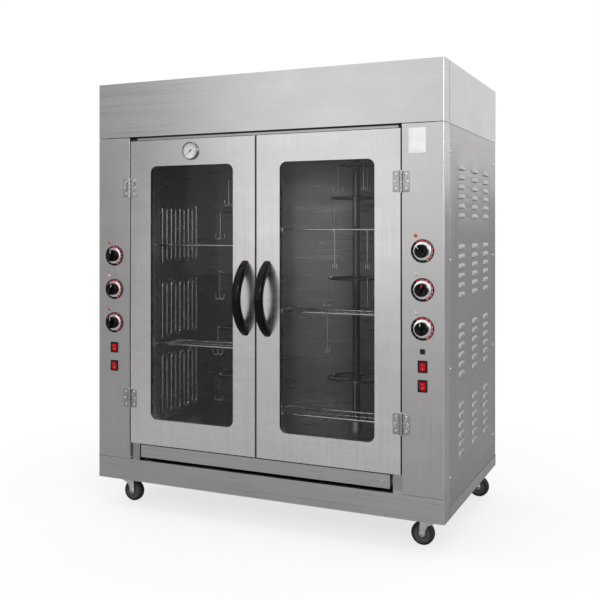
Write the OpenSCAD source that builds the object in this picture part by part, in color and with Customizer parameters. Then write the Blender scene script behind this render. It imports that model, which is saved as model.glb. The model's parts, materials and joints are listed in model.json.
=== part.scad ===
// Double-door vertical electric skewer grill on casters.
// Millimetres. Origin on the floor under the middle of the part, +Z up, doors towards -Y.

/* [Cabinet] */
// Width of the cabinet body
body_w = 1058; // [1020:2:1140]
// Depth of the cabinet body
body_d = 618; // [600:2:680]
// Height of the cabinet body above its casters
body_h = 1170; // [1160:2:1240]
// Thickness of the stainless sheet
sheet = 1.5; // [1:0.5:2]
// Thickness of the folded frame angles
frame_t = 3; // [2:0.5:4]
// Height of the hood
hood_h = 160; // [150:1:190]
// Height of the plinth skirt at the front
plinth_h = 63; // [60:1:66]
// Height of the plinth skirt at the sides and the rear
skirt_h = 32; // [24:1:40]
// Width of each control column
column_w = 111; // [100:1:125]
// Depth to which the front sheets wrap round onto the sides
wrap_d = 48; // [40:1:52]
// Radius of the upright outer corners
corner_r = 4; // [3:0.5:8]
// Reach of the handles in front of the doors
handle_reach = 62; // [54:1:70]
// Reach of the cable gland behind the rear panel
gland_reach = 20; // [14:1:30]

/* [Louvres] */
// Length of a side louvre
louvre_len = 62; // [50:1:70]
// Reach of a side louvre from its panel
louvre_reach = 6; // [4:0.5:8]
// Spacing of the louvres in a group
louvre_pitch = 25.5; // [20:0.5:28]
// Distance of the highest louvre below the panel's top edge
louvre_margin = 70; // [40:1:100]
// Distance of the lowest louvre above the panel's lower edge
louvre_foot = 62; // [40:1:100]
// Distance of the outer louvres' middles from the panel's ends
louvre_end = 124; // [100:1:140]
// Distance of the rear slots' middles from the cabinet's middle
rear_slot_x = 250; // [200:1:300]
// Width of a rear slot
rear_slot_w = 180; // [120:1:220]
// Height of a rear slot
rear_slot_h = 5; // [3:0.5:8]
// Spacing of the rear slots
rear_slot_pitch = 16; // [12:1:20]
// Distance of the highest rear slot below the hood
rear_slot_drop = 110; // [60:1:160]
// Height of the cord's entry above the plinth's underside
gland_rise = 150; // [120:1:220]

/* [Doors] */
// Gap round each door
door_gap = 4; // [3:0.5:6]
// Height of the door bottoms above the plinth's underside
door_low = 112; // [111:1:120]
// Gap between the door tops and the hood
door_head = 13; // [10:1:18]
// Thickness of a door
door_t = 40; // [34:1:42]
// Width of the window's border at the sides
stile_w = 70; // [62:1:90]
// Height of the window's border at top and bottom
rail_h = 75; // [70:1:100]
// Corner radius of the windows
window_r = 20; // [12:1:30]
// Thickness of the window glass
glass_t = 5; // [4:0.5:8]
// Length of a handle
handle_h = 208; // [180:2:240]
// Width of a handle
handle_w = 25; // [20:1:30]
// Height of the handles' middle above the plinth's underside
handle_z = 549; // [500:1:620]
// Distance from a handle's middle to the meeting edge of its door
handle_inset = 32; // [26:1:38]

/* [Hinges] */
// Height of a hinge
hinge_h = 55; // [45:1:70]
// Width of one hinge leaf beyond the knuckle
leaf_w = 18; // [14:1:22]
// Thickness of a hinge leaf
leaf_t = 2; // [1.5:0.5:3]
// Radius of the hinge knuckle
knuckle_r = 4.5; // [4:0.25:5]
// Radius of the hinge pin
pin_r = 2.2; // [1.8:0.1:2.6]
// Distance of the hinges from the door's lower and upper edge
hinge_ends = [131, 136]; // [60:1:200]

/* [Controls] */
// Distance of the dials from the cabinet's side
dial_inset = 57; // [54:1:62]
// Radius of the scale ring round a dial
dial_r = 30; // [24:0.5:34]
// Thickness of the scale ring
dial_t = 4; // [3:0.5:6]
// Radius of a dial's knob
knob_r = 19.5; // [16:0.5:22]
// Height of a dial's knob
knob_h = 20; // [16:1:26]
// Heights of the right dials above the plinth's underside
right_dial_zs = [684, 586, 488]; // [400:1:800]
// Heights of the left dials above the plinth's underside
left_dial_zs = [661, 562, 463]; // [400:1:800]
// Heights of the right rocker switches above the plinth's underside
right_switch_zs = [392, 343]; // [200:1:420]
// Heights of the left rocker switches above the plinth's underside
left_switch_zs = [389, 335]; // [200:1:420]
// Height of the small buzzer above the plinth's underside
buzzer_z = 430; // [420:1:440]
// Width, depth and height of the thermostats behind the columns
thermostat_size = [36, 32, 36]; // [24:1:44]
// Depth of a switch body behind its column
switch_depth = 25; // [18:1:30]
// Width and height of a switch bezel
bezel_size = [25, 31]; // [20:1:36]
// Radius of an indicator lamp's lens
lamp_r = 5; // [4:0.5:6]

/* [Cavity] */
// Space between the cabinet's side and the cavity's wall
side_space = 143; // [139:1:149]
// Height of the cavity's floor above the plinth's underside
floor_h = 157; // [150:1:165]
// Distance of the cavity's ceiling below the hood
ceiling_drop = 55; // [45:1:65]
// Depth of the cavity's back wall behind the front
back_depth = 456; // [440:1:480]
// Radius of a heating tube
tube_r = 4; // [3:0.5:4.5]
// Spacing of a heater's upright legs
leg_pitch = 24.5; // [24.5:0.5:28]
// Number of upright legs of one heater
leg_count = 9; // [5:2:9]
// Lower ends of the three heaters above the plinth's underside
bank_lows = [177, 411, 638]; // [170:1:700]
// Upper ends of the three heaters above the plinth's underside
bank_highs = [363, 583, 813]; // [300:1:850]

/* [Rotors] */
// Distance of each rotor shaft from its side wall of the cavity
shaft_side = 200; // [190:1:214]
// Depth of the rotor shafts behind the front
shaft_depth = 287; // [280:1:330]
// Radius of a rotor shaft
shaft_r = 11; // [8:0.5:12]
// Radius of the ring wire
ring_wire_r = 3; // [2:0.25:4]
// Heights of the right rotor's lower rings above the cavity's floor
right_ring_rises = [143, 437]; // [110:1:460]
// Distances of its upper rings below the cavity's ceiling
right_ring_drops = [124, 26]; // [20:1:200]
// Radii of the right rotor's rings
right_ring_rs = [83, 80, 73, 50]; // [40:1:90]
// Heights of the left rotor's lower rings above the cavity's floor
left_ring_rises = [123, 273]; // [110:1:300]
// Distances of its upper rings below the cavity's ceiling
left_ring_drops = [355, 165, 59]; // [20:1:380]
// Radii of the left rotor's rings
left_ring_rs = [83, 80, 80, 73, 50]; // [40:1:90]
// Length of a hanging hook
hook_len = 82; // [60:1:90]

/* [Drive] */
// Width of a gearmotor's housing
gear_w = 90; // [70:2:100]
// Height of its gear housing
gear_h = 42; // [30:1:50]
// Length of its motor above the housing
motor_h = 58; // [40:1:64]

/* [Racks] */
// Length of a hook hanging from a rack
rack_hook_len = 110; // [70:1:130]
// Distances of the top right rack's hooks from the cabinet's middle
top_rack_hook_xs = [201, 296]; // [40:1:340]
// Distance of the middle right rack's hook from the cabinet's middle
mid_rack_hook_x = 180; // [40:1:340]
// Heights of the right racks above the plinth's underside
right_rack_zs = [223, 509, 738]; // [200:1:760]
// Heights of the left racks above the plinth's underside
left_rack_zs = [397, 692]; // [200:1:760]
// Depth of the racks' front wire behind the cabinet's front
rack_front = 75; // [70:1:80]
// Depth of the racks' rear wire behind the cabinet's front
rack_rear = 172; // [150:1:173]
// Radius of the racks' frame wire
rack_wire_r = 2.5; // [2:0.25:3]
// Radius of the racks' cross wires
rack_mesh_r = 1.25; // [1:0.25:2]

/* [Drawer] */
// Distance of the drawer front's ends from the columns
drawer_margin = 35; // [32:1:60]
// Height of the drawer front's lower edge above the plinth's underside
drawer_low = 71; // [68:1:74]
// Height of the drawer front
drawer_h = 36; // [33:1:38]
// Depth of the drip pan from front to back
pan_d = 486; // [400:2:520]
// Distance of the drip pan's sides from the drawer front's ends
pan_margin = 23; // [21:1:60]

/* [Casters] */
// Height of the plinth's underside above the floor
caster_h = 83; // [80:1:100]
// Radius of a caster wheel
wheel_r = 31; // [28:0.5:33]
// Width of a caster wheel
wheel_w = 20; // [16:1:24]
// Distance of a caster's swivel axis from the cabinet's side
caster_in_x = 57; // [54:1:80]
// Distance of a caster's swivel axis from the front and the rear
caster_in_y = 74; // [60:1:90]
// Offset of the wheel's axle from the swivel axis
trail = 20; // [16:1:22]

/* [Hidden] */
$fn = 48;

// Clearance where one fixed piece seats on another, and round a running shaft
seat_gap = 0.2;
run_gap = 0.05;
cut = 1;

hx = body_w / 2;
front_y = (handle_reach - gland_reach - body_d) / 2;
rear_y = front_y + body_d;
base_z = caster_h;
hood_z = base_z + body_h - hood_h;
top_z = base_z + body_h;

opening_w = body_w - 2 * column_w;
drawer_w = opening_w - 2 * drawer_margin;
pan_w = drawer_w - 2 * pan_margin;
door_w = (opening_w - 3 * door_gap) / 2;
door_x = (door_gap + door_w) / 2;
door_z0 = base_z + door_low;
hinge_zs = [door_low + hinge_ends[0], body_h - hood_h - door_head - hinge_ends[1]];
door_z1 = hood_z - door_head;
window_w = door_w - 2 * stile_w;
window_z0 = door_z0 + rail_h;
window_z1 = door_z1 - rail_h;
glass_lip = 8;
hinge_x = opening_w / 2 - door_gap / 2;
hinge_y = front_y - knuckle_r - seat_gap;
handle_x = door_gap / 2 + handle_inset;

// Frame behind the doors, and the liner behind it
face_depth = door_t + 5;
liner_depth = face_depth + frame_t + seat_gap;
cx = hx - side_space;
shaft_x = cx - shaft_side;
ceiling_h = body_h - hood_h - ceiling_drop;
floor_z = base_z + floor_h;
ceiling_z = base_z + ceiling_h;
shaft_y = front_y + shaft_depth;
shelf_z = hood_z + 20;
jamb_x = cx - 6;

// Side panels
panel_front = wrap_d + 2;
panel_rear = body_d - 39;
panel_z0 = base_z + skirt_h + 42;
panel_z1 = hood_z - 42;
screw_r = 2;
screw_head_r = 4;
side_screw_depths = [panel_front + 6, panel_rear - 6];
side_screw_zs = [for (i = [0 : 3]) panel_z0 + 30 + i * (panel_z1 - panel_z0 - 60) / 3];
rear_screw_x = hx - 18;

// Heating tubes stand off the side walls, behind them the bars and the reflector
tube_off = 16;
tube_x = cx - tube_off;
post_d0 = rack_front - 8;
post_width = 24;
post_reach = 13;
first_leg = post_d0 + post_width + 10;
last_leg = first_leg + (leg_count - 1) * leg_pitch;
bend_r = leg_pitch / 2;
terminal_r = tube_r - 0.5;
terminal_hole_r = terminal_r + 0.6;
bar_h = 12;
reflector_t = 1;

spindle_r = 3;
bush_r = 4.9;
lamp_stem_r = 3.9;
lamp_dx = -18;
lamp_dz = 39;
thermo_x = -door_x;
thermo_z = door_z1 - 35;
thermo_r = 25.5;
stem_r = 5;
stem_out = 3;
needle_angle = -127;
pan_z = base_z + 75;
gland_x = -hx + 120;
gland_z = base_z + gland_rise;
gland_bore_r = 6;
column_parts_x = hx - dial_inset;
rocker_tilt = 7;
rocker_pivot = 1.5;

steel = "#b9b6b6";
dark_steel = "#5d5b5a";
black = "#161617";
red = "#a81217";

// ---- helpers ------------------------------------------------------------

// Box between two corners
module block(x, y, z) {
    translate([x[0], y[0], z[0]]) cube([x[1] - x[0], y[1] - y[0], z[1] - z[0]]);
}

// Flat outline in X and Z, given thickness along +Y from y
module slab_y(y, t) {
    translate([0, y + t, 0]) rotate([90, 0, 0]) linear_extrude(height = t) children();
}

// Rectangle about the origin with round corners
module round_rect(w, h, r) {
    square([w - 2 * r, h], center = true);
    square([w, h - 2 * r], center = true);
    for (sx = [-1, 1], sy = [-1, 1]) translate([sx * (w / 2 - r), sy * (h / 2 - r)]) circle(r);
}

// The cabinet's outline as a band of sheet
module outline_band(z, h) {
    translate([0, front_y + body_d / 2, z]) linear_extrude(height = h) difference() {
        round_rect(body_w, body_d, corner_r);
        round_rect(body_w - 2 * sheet, body_d - 2 * sheet, corner_r - sheet);
    }
}

// Cylinder along Y from y0 to y1
module rod_y(x, z, r, y0, y1) {
    translate([x, y0, z]) rotate([-90, 0, 0]) cylinder(r = r, h = y1 - y0);
}

// Cylinder along X from x0 to x1
module rod_x(y, z, r, x0, x1) {
    translate([x0, y, z]) rotate([0, 90, 0]) cylinder(r = r, h = x1 - x0);
}

module rod_z(x, y, r, z0, z1) {
    translate([x, y, z0]) cylinder(r = r, h = z1 - z0);
}

module both_sides() {
    children();
    mirror([1, 0, 0]) children();
}

function pick(side, left, right) = side < 0 ? left : right;

// ---- cabinet ------------------------------------------------------------

module plinth() color(steel) {
    difference() {
        outline_band(base_z, plinth_h);
        block([-hx - cut, hx + cut], [front_y + wrap_d, rear_y + cut],
            [base_z + skirt_h, base_z + plinth_h + cut]);
    }
    block([-hx + sheet / 2, hx - sheet / 2], [front_y + sheet / 2, rear_y - sheet / 2],
        [base_z, base_z + sheet]);
    block([-opening_w / 2, opening_w / 2], [front_y, front_y + 12 - seat_gap],
        [base_z + plinth_h - sheet, base_z + plinth_h]);
}

// Holes for the side panels' screws, through panel and frame
module side_screw_cuts() {
    for (d = side_screw_depths, z = side_screw_zs)
        rod_x(front_y + d, z, screw_r + run_gap, hx - sheet - frame_t - cut, hx + cut);
}

// Bars of one side of the frame, each clear of the next by a hair so that it stays its own bar
module side_frame() {
    outer = hx - sheet;
    inner = outer - frame_t;
    low = base_z + sheet;
    front = front_y + panel_front + 12;
    rear = front_y + panel_rear - 12;
    back = rear_y - sheet;
    difference() {
        union() {
            // front post and its flange
            block([inner, outer], [front_y + sheet + corner_r, front], [low, hood_z]);
            block([outer - 24, inner - seat_gap], [front_y + sheet + corner_r,
                front_y + sheet + corner_r + frame_t], [low, hood_z]);
            // rear post and its flange
            block([inner, outer], [rear, back - corner_r], [low, hood_z + 23]);
            block([outer - 30, inner - seat_gap], [back - frame_t, back], [low, hood_z + 23]);
            // rails above and below the side panel
            block([inner, outer], [front + seat_gap, rear - seat_gap],
                [base_z + skirt_h, panel_z0 + 12]);
            block([inner, outer], [front + seat_gap, rear - seat_gap],
                [panel_z1 - 12, hood_z + 23]);
        }
        side_screw_cuts();
        for (z = side_screw_zs)
            rod_y(rear_screw_x, z, screw_r + run_gap, rear_y - sheet - frame_t - cut, rear_y + cut);
    }
}

module inner_frame() color(dark_steel) {
    jamb_out = opening_w / 2;
    outer = hx - sheet;
    inner = outer - frame_t;
    face = front_y + face_depth;
    back = face + frame_t;
    low = base_z + sheet;
    lid_z = hood_z + 23 - frame_t;
    post_y = front_y + 12;
    post_x = [jamb_out - 28, jamb_out - 2];
    post_top = base_z + drawer_low + drawer_h + 2;
    both_sides() {
        side_frame();
        // door jamb and its ties to the front post
        block([jamb_x, jamb_out + 8], [face, back], [low, lid_z - seat_gap]);
        block([jamb_out + 8 + seat_gap, inner - seat_gap], [face, back], [hood_z - 30, lid_z - seat_gap]);
        block([jamb_out + 8 + seat_gap, inner - seat_gap], [face, back], [low, base_z + 60]);
        // short post beside the drawer
        block(post_x, [post_y, post_y + frame_t], [low, post_top]);
        block([post_x[0], post_x[0] + frame_t], [post_y + frame_t + seat_gap, face - seat_gap],
            [low, post_top]);
    }
    // sill under the doors and header above them
    block([-jamb_x + seat_gap, jamb_x - seat_gap], [face, back],
        [base_z + drawer_low + drawer_h + 3, floor_z]);
    block([-jamb_x + seat_gap, jamb_x - seat_gap], [face, back], [ceiling_z, lid_z - seat_gap]);
    // rail seen in the slot above the doors, and the lid behind it
    block([-jamb_out + 2, jamb_out - 2], [post_y, post_y + frame_t], [door_z1 + 3, hood_z + 23]);
    block([-jamb_out + 2, jamb_out - 2], [post_y + frame_t + seat_gap, back], [lid_z, hood_z + 23]);
    // rear rails
    difference() {
        for (z = [low, hood_z - 40]) {
            block([-outer + 30 + seat_gap, outer - 30 - seat_gap],
                [rear_y - sheet - frame_t, rear_y - sheet], [z, z + 60]);
        }
        rod_y(gland_x, gland_z, gland_bore_r + 8, rear_y - 8, rear_y + cut);
    }
    // shelf that carries the gearmotors
    difference() {
        block([-inner + seat_gap, inner - seat_gap], [shaft_y - gear_w / 2 - 17, shaft_y + gear_w / 2 + 17],
            [shelf_z, shelf_z + frame_t]);
        for (sx = [-1, 1])
            rod_z(sx * shaft_x, shaft_y, shaft_r + 3, shelf_z - cut, shelf_z + frame_t + cut);
    }
}

// One folded column cover with its openings, for side -1 or 1
module column(side) color(steel) {
    z0 = base_z + plinth_h + 0.5;
    z1 = hood_z - 2;
    dial_zs = pick(side, left_dial_zs, right_dial_zs);
    switch_zs = pick(side, left_switch_zs, right_switch_zs);
    x0 = hx - column_w;
    difference() {
        union() {
            intersection() {
                outline_band(z0, z1 - z0);
                mirror([side < 0 ? 1 : 0, 0, 0])
                    block([x0, hx + cut], [front_y - cut, front_y + wrap_d], [z0, z1]);
            }
            mirror([side < 0 ? 1 : 0, 0, 0])
                block([x0, x0 + sheet], [front_y, front_y + 18], [z0, z1]);
        }
        for (z = dial_zs) {
            rod_y(side * column_parts_x, base_z + z, bush_r + 0.1, front_y - cut, front_y + 5);
            rod_y(side * column_parts_x + lamp_dx, base_z + z + lamp_dz, lamp_stem_r + 0.1,
                front_y - cut, front_y + 5);
        }
        for (z = switch_zs)
            translate([side * column_parts_x, front_y, base_z + z])
                cube([bezel_size[0] - 3, 10, bezel_size[1] - 3], center = true);
        if (side > 0)
            translate([column_parts_x, front_y, base_z + buzzer_z]) cube([9, 10, 9], center = true);
    }
}

module hood() color(steel) {
    outline_band(hood_z, hood_h);
    translate([0, front_y + body_d / 2, top_z - sheet]) linear_extrude(height = sheet)
        round_rect(body_w - sheet, body_d - sheet, corner_r - sheet / 2);
    block([-hx + corner_r, hx - corner_r], [front_y, front_y + 11], [hood_z, hood_z + sheet]);
}

// One arched louvre on a side panel: a quarter-round hood that is open below
module louvre_hood(len, reach) {
    intersection() {
        rotate([-90, 0, 0]) cylinder(r = reach, h = len, center = true);
        translate([0, -len / 2, 0]) cube([reach + cut, len, reach + cut]);
    }
}

module side_panel(side) color(steel) {
    panel_h = panel_z1 - panel_z0;
    group_step = (panel_h - louvre_margin - louvre_foot - 5 * louvre_pitch) / 3;
    group_tops = [for (i = [0 : 3]) panel_z1 - louvre_margin - i * group_step];
    louvre_depths = [panel_front + louvre_end, (panel_front + panel_rear) / 2 + 12,
        panel_rear - louvre_end + 12];
    places = [for (d = louvre_depths, t = group_tops, i = [0 : 5])
        [front_y + d, t - i * louvre_pitch]];
    mirror([side < 0 ? 1 : 0, 0, 0]) difference() {
        union() {
            block([hx - sheet, hx], [front_y + panel_front, front_y + panel_rear],
                [panel_z0, panel_z1]);
            for (p = places) translate([hx, p[0], p[1]]) louvre_hood(louvre_len, louvre_reach);
        }
        for (p = places) translate([hx - sheet, p[0], p[1] - sheet])
            louvre_hood(louvre_len - 2 * sheet, louvre_reach);
        side_screw_cuts();
    }
}

module rear_panel() color(steel) difference() {
    block([-hx + 2, hx - 2], [rear_y - sheet, rear_y], [base_z + skirt_h + 1, hood_z - 1]);
    rod_y(gland_x, gland_z, gland_bore_r + 4.1, rear_y - 8, rear_y + cut);
    for (sx = [-1, 1], z = side_screw_zs)
        rod_y(sx * rear_screw_x, z, screw_r + run_gap, rear_y - 8, rear_y + cut);
    for (sx = [-1, 1], i = [0 : 9])
        translate([sx * rear_slot_x, rear_y, hood_z - rear_slot_drop - i * rear_slot_pitch])
            cube([rear_slot_w, 10, rear_slot_h], center = true);
}

// ---- cavity -------------------------------------------------------------

// Places where the heaters' ends pass through the right wall: [depth, height]
function terminals() = [for (i = [0 : len(bank_lows) - 1], last = [0, 1])
    [last == 0 ? first_leg : last_leg, base_z + (last == 0 ? bank_lows[i] : bank_highs[i]) +
        (last == 0 ? terminal_r : -terminal_r)]];

module oven_liner() color(dark_steel) {
    y0 = front_y + liner_depth;
    y1 = front_y + back_depth;
    both_sides() difference() {
        block([cx, cx + sheet], [y0, y1], [floor_z, ceiling_z]);
        for (t = terminals())
            rod_x(front_y + t[0], t[1], terminal_hole_r, cx - cut, cx + sheet + cut);
    }
    block([-cx - sheet, cx + sheet], [y1 + seat_gap, y1 + seat_gap + sheet], [floor_z, ceiling_z]);
    difference() {
        block([-cx - sheet, cx + sheet], [y0, y1 + seat_gap + sheet],
            [floor_z - seat_gap - sheet, floor_z - seat_gap]);
        for (x = [-60, 60]) translate([x, shaft_y - 40, floor_z]) cube([50, 8, 10], center = true);
    }
    difference() {
        block([-cx - sheet, cx + sheet], [y0, y1 + seat_gap + sheet],
            [ceiling_z + seat_gap, ceiling_z + seat_gap + sheet]);
        for (sx = [-1, 1]) rod_z(sx * shaft_x, shaft_y, shaft_r + 4, ceiling_z - cut, ceiling_z + 5);
    }
}

// Half-round bend in the wall's plane, opening down for up = 1
module tube_bend(y, z, up) {
    translate([tube_x, y, z]) rotate([0, up > 0 ? -90 : 90, 0]) rotate([0, 0, -90])
        rotate_extrude(angle = 180) translate([bend_r, 0]) circle(tube_r);
}

// One serpentine heater on the right wall between two heights
module heater(low, high) {
    z0 = low + tube_r + bend_r;
    z1 = high - tube_r - bend_r;
    for (i = [0 : leg_count - 1]) rod_z(tube_x, front_y + first_leg + i * leg_pitch, tube_r,
        i == 0 ? low : z0, i == leg_count - 1 ? high : z1);
    for (i = [0 : leg_count - 2])
        tube_bend(front_y + first_leg + (i + 0.5) * leg_pitch, i % 2 == 0 ? z1 : z0,
            i % 2 == 0 ? 1 : -1);
    // cold ends through the wall
    rod_x(front_y + first_leg, low + terminal_r, terminal_r, tube_x, cx + 12);
    rod_x(front_y + last_leg, high - terminal_r, terminal_r, tube_x, cx + 12);
}

module heaters() color("#8d8a86") both_sides()
    for (i = [0 : len(bank_lows) - 1]) heater(base_z + bank_lows[i], base_z + bank_highs[i]);

module heater_mounts() color(dark_steel) both_sides() {
    difference() {
        block([cx - seat_gap - reflector_t, cx - seat_gap],
            [front_y + first_leg - 8, front_y + last_leg + 64],
            [base_z + bank_lows[0] - 12, base_z + bank_highs[2] + 17]);
        for (t = terminals()) rod_x(front_y + t[0], t[1], terminal_hole_r, cx - 5, cx + cut);
    }
    for (i = [0 : 2], low = [0, 1]) {
        z = base_z + (low == 0 ? bank_lows[i] + 33 : bank_highs[i] - 42);
        block([tube_x + tube_r + seat_gap / 2, cx - 2 * seat_gap - reflector_t],
            [front_y + first_leg - 8, front_y + last_leg + 15], [z, z + bar_h]);
    }
}

// Flat upright channel with peg holes, its web towards +X, from the cavity's floor to its ceiling
module post_channel(depth, reach, width) {
    y0 = front_y + depth;
    holes = floor((ceiling_h - floor_h - 60) / 50);
    difference() {
        block([0, reach], [y0, y0 + width], [floor_z + seat_gap, ceiling_z - seat_gap]);
        block([-cut, reach - sheet], [y0 + sheet, y0 + width - sheet],
            [floor_z - cut, ceiling_z + cut]);
    }
}

// Depths of the two pegs at each end of a rack
peg_depths = [rack_front, rack_front + 9];

module peg_cuts(zs, x0, x1) {
    for (z = zs, d = peg_depths) rod_x(front_y + d, base_z + z, rack_wire_r + 0.3, x0, x1);
}

// Spare peg holes between the racks, for show of the adjustable heights
function spare_holes(zs) = [for (i = [1 : 14]) let (z = floor_h + i * 53)
    if (min([for (r = zs) abs(r - z)]) > 12 && z < ceiling_h - 20) z];

module rack_posts() color(steel) {
    difference() {
        translate([-cx + seat_gap, 0, 0]) post_channel(post_d0, post_reach, post_width);
        peg_cuts(concat(left_rack_zs, spare_holes(left_rack_zs)), -cx, -cx + 20);
    }
    difference() {
        mirror([1, 0, 0]) translate([-cx + seat_gap, 0, 0])
            post_channel(post_d0, post_reach, post_width);
        peg_cuts(concat(right_rack_zs, spare_holes(right_rack_zs)), cx - 20, cx);
    }
    // middle post behind the meeting stiles, open to the rear
    difference() {
        block([-10, 10], [front_y + post_d0, front_y + post_d0 + post_width],
            [floor_z + seat_gap, ceiling_z - seat_gap]);
        block([-10 + sheet, 10 - sheet], [front_y + post_d0 + sheet,
            front_y + post_d0 + post_width + cut], [floor_z - cut, ceiling_z + cut]);
        peg_cuts(concat(left_rack_zs, spare_holes(left_rack_zs)), -11, 0);
        peg_cuts(concat(right_rack_zs, spare_holes(right_rack_zs)), 0, 11);
    }
}

// One wire rack on the right side at height z, pegged into the posts
module wire_rack(z) {
    x0 = 16;
    x1 = cx - 32;
    ya = front_y + rack_front;
    yb = front_y + rack_rear;
    inner_peg = 6;
    outer_peg = cx - post_reach + 2;
    mesh_count = 13;
    rod_x(ya, z, rack_wire_r, inner_peg, outer_peg);
    rod_x(yb, z, rack_wire_r, x0, x1);
    rod_x(front_y + peg_depths[1], z, rack_wire_r, inner_peg, x0);
    rod_x(front_y + peg_depths[1], z, rack_wire_r, x1, outer_peg);
    for (x = [x0 + rack_wire_r, x1 - rack_wire_r]) rod_y(x, z, rack_wire_r - 0.3, ya, yb);
    for (i = [1 : mesh_count]) rod_y(x0 + i * (x1 - x0) / (mesh_count + 1),
        z + 0.6, rack_mesh_r, ya, yb);
    rod_x((ya + yb) / 2, z - 0.8, rack_mesh_r, x0 + rack_wire_r, x1 - rack_wire_r);
}

module wire_racks() color(steel) {
    for (z = right_rack_zs) wire_rack(base_z + z);
    mirror([1, 0, 0]) for (z = left_rack_zs) wire_rack(base_z + z);
}

// Hook hung over a wire of radius wire_r at the origin, bent in the XZ plane
module hook(wire_r, length) {
    r = 1.5;
    eye_r = wire_r + r + seat_gap / 2;
    foot_r = 7;
    drop = length - foot_r;
    rotate([90, 0, 0]) rotate_extrude(angle = 180) translate([eye_r, 0]) circle(r);
    rod_z(-eye_r, 0, r, -6, 0);
    rod_z(eye_r, 0, r, -drop, 0);
    translate([eye_r - foot_r, 0, -drop]) rotate([90, 0, 0]) rotate([0, 0, 180])
        rotate_extrude(angle = 180) translate([foot_r, 0]) circle(r);
    rod_z(eye_r - 2 * foot_r, 0, r, -drop, -drop + 10);
    translate([eye_r + foot_r, 0, -drop]) rotate([90, 0, 0]) rotate([0, 0, 180])
        rotate_extrude(angle = 180) translate([foot_r, 0]) circle(r);
    rod_z(eye_r + 2 * foot_r, 0, r, -drop, -drop + 10);
}

module rack_hooks() color(steel) {
    for (p = [[top_rack_hook_xs[0], right_rack_zs[2]], [top_rack_hook_xs[1], right_rack_zs[2]],
        [mid_rack_hook_x, right_rack_zs[1]]])
        translate([p[0], front_y + rack_front, base_z + p[1]]) rotate([0, 0, 90])
            hook(rack_wire_r, rack_hook_len);
}

// ---- drive --------------------------------------------------------------

bearing_h = 16;
bearing_r = 20;

module shaft_bearings() color(dark_steel) for (sx = [-1, 1]) {
    difference() {
        rod_z(sx * shaft_x, shaft_y, bearing_r, floor_z, floor_z + bearing_h);
        rod_z(sx * shaft_x, shaft_y, shaft_r + run_gap, floor_z + 4, floor_z + bearing_h + cut);
    }
    difference() {
        union() {
            rod_z(sx * shaft_x, shaft_y, bearing_r, ceiling_z - 4, ceiling_z);
            rod_z(sx * shaft_x, shaft_y, shaft_r + 3.9, ceiling_z - cut, ceiling_z + 8);
        }
        rod_z(sx * shaft_x, shaft_y, shaft_r + run_gap, ceiling_z - 8, ceiling_z + 12);
    }
}

coupling_z = shelf_z + frame_t;

module gearmotors() color("#4a4d50") for (sx = [-1, 1]) difference() {
    union() {
        block([sx * shaft_x - gear_w / 2, sx * shaft_x + gear_w / 2],
            [shaft_y - gear_w / 2, shaft_y + gear_w / 2], [coupling_z, coupling_z + gear_h]);
        rod_z(sx * shaft_x, shaft_y, gear_w * 0.38, coupling_z + gear_h - cut,
            coupling_z + gear_h + motor_h);
        rod_z(sx * shaft_x, shaft_y, gear_w * 0.31, coupling_z + gear_h + motor_h,
            coupling_z + gear_h + motor_h + 8);
    }
    rod_z(sx * shaft_x, shaft_y, shaft_r + run_gap, coupling_z - cut, coupling_z + 28);
}

// Ring of wire on a hub, clamped to the shaft
module ring_carrier(radius, z) {
    hub_r = shaft_r + 5;
    difference() {
        union() {
            translate([0, 0, z]) rotate_extrude() translate([radius, 0]) circle(ring_wire_r);
            for (a = [0, 90, 180, 270]) rotate([0, 0, a])
                rod_x(0, z, ring_wire_r - 0.5, hub_r - 2, radius);
            rod_z(0, 0, hub_r, z - 9, z + 9);
        }
        rod_z(0, 0, shaft_r + 0.02, z - 20, z + 20);
    }
}

module rotor(side) color("#8f8d8b") translate([side * shaft_x, shaft_y, 0]) {
    zs = ring_zs(side);
    rs = pick(side, left_ring_rs, right_ring_rs);
    rod_z(0, 0, shaft_r, floor_z + 4 + seat_gap, coupling_z + 26);
    rotate([0, 0, rotor_turn(side)]) for (i = [0 : len(zs) - 1])
        ring_carrier(rs[i], base_z + zs[i]);
}

// Heights of a rotor's rings above the plinth's underside
function ring_zs(side) = concat(
    [for (rise = pick(side, left_ring_rises, right_ring_rises)) floor_h + rise],
    [for (drop = pick(side, left_ring_drops, right_ring_drops)) ceiling_h - drop]);

// Turn of a rotor about its shaft at rest
function rotor_turn(side) = side < 0 ? 20 : 0;

// Angles at which hooks hang on a ring, turned from ring to ring
function hook_angles(i) = [for (k = [0 : 2]) 180 + k * 120 + (i % 2) * 25 - 12];

module rotor_hooks(side) color(steel) translate([side * shaft_x, shaft_y, 0]) {
    zs = ring_zs(side);
    rs = pick(side, left_ring_rs, right_ring_rs);
    for (i = [0 : len(zs) - 1], a = hook_angles(i))
        rotate([0, 0, a + rotor_turn(side)]) translate([rs[i], 0, base_z + zs[i]]) hook(ring_wire_r, hook_len);
}

// ---- drawer -------------------------------------------------------------

module drawer_front() color(steel) {
    z0 = base_z + drawer_low;
    z1 = z0 + drawer_h;
    block([-drawer_w / 2, drawer_w / 2], [front_y + 8, front_y + 8 + sheet], [z0, z1]);
    block([-drawer_w / 2, drawer_w / 2], [front_y + 8, front_y + 22], [z1 - sheet, z1]);
    block([-drawer_w / 2 + 34, drawer_w / 2 - 34], [front_y + 8, front_y + 22], [z0, z0 + sheet]);
    for (sx = [-1, 1]) translate([sx * (drawer_w / 2 - sheet / 2), front_y + 15, (z0 + z1) / 2])
        cube([sheet, 14, drawer_h], center = true);
}

pan_front = 22 + seat_gap;
pan_h = 31;

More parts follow.
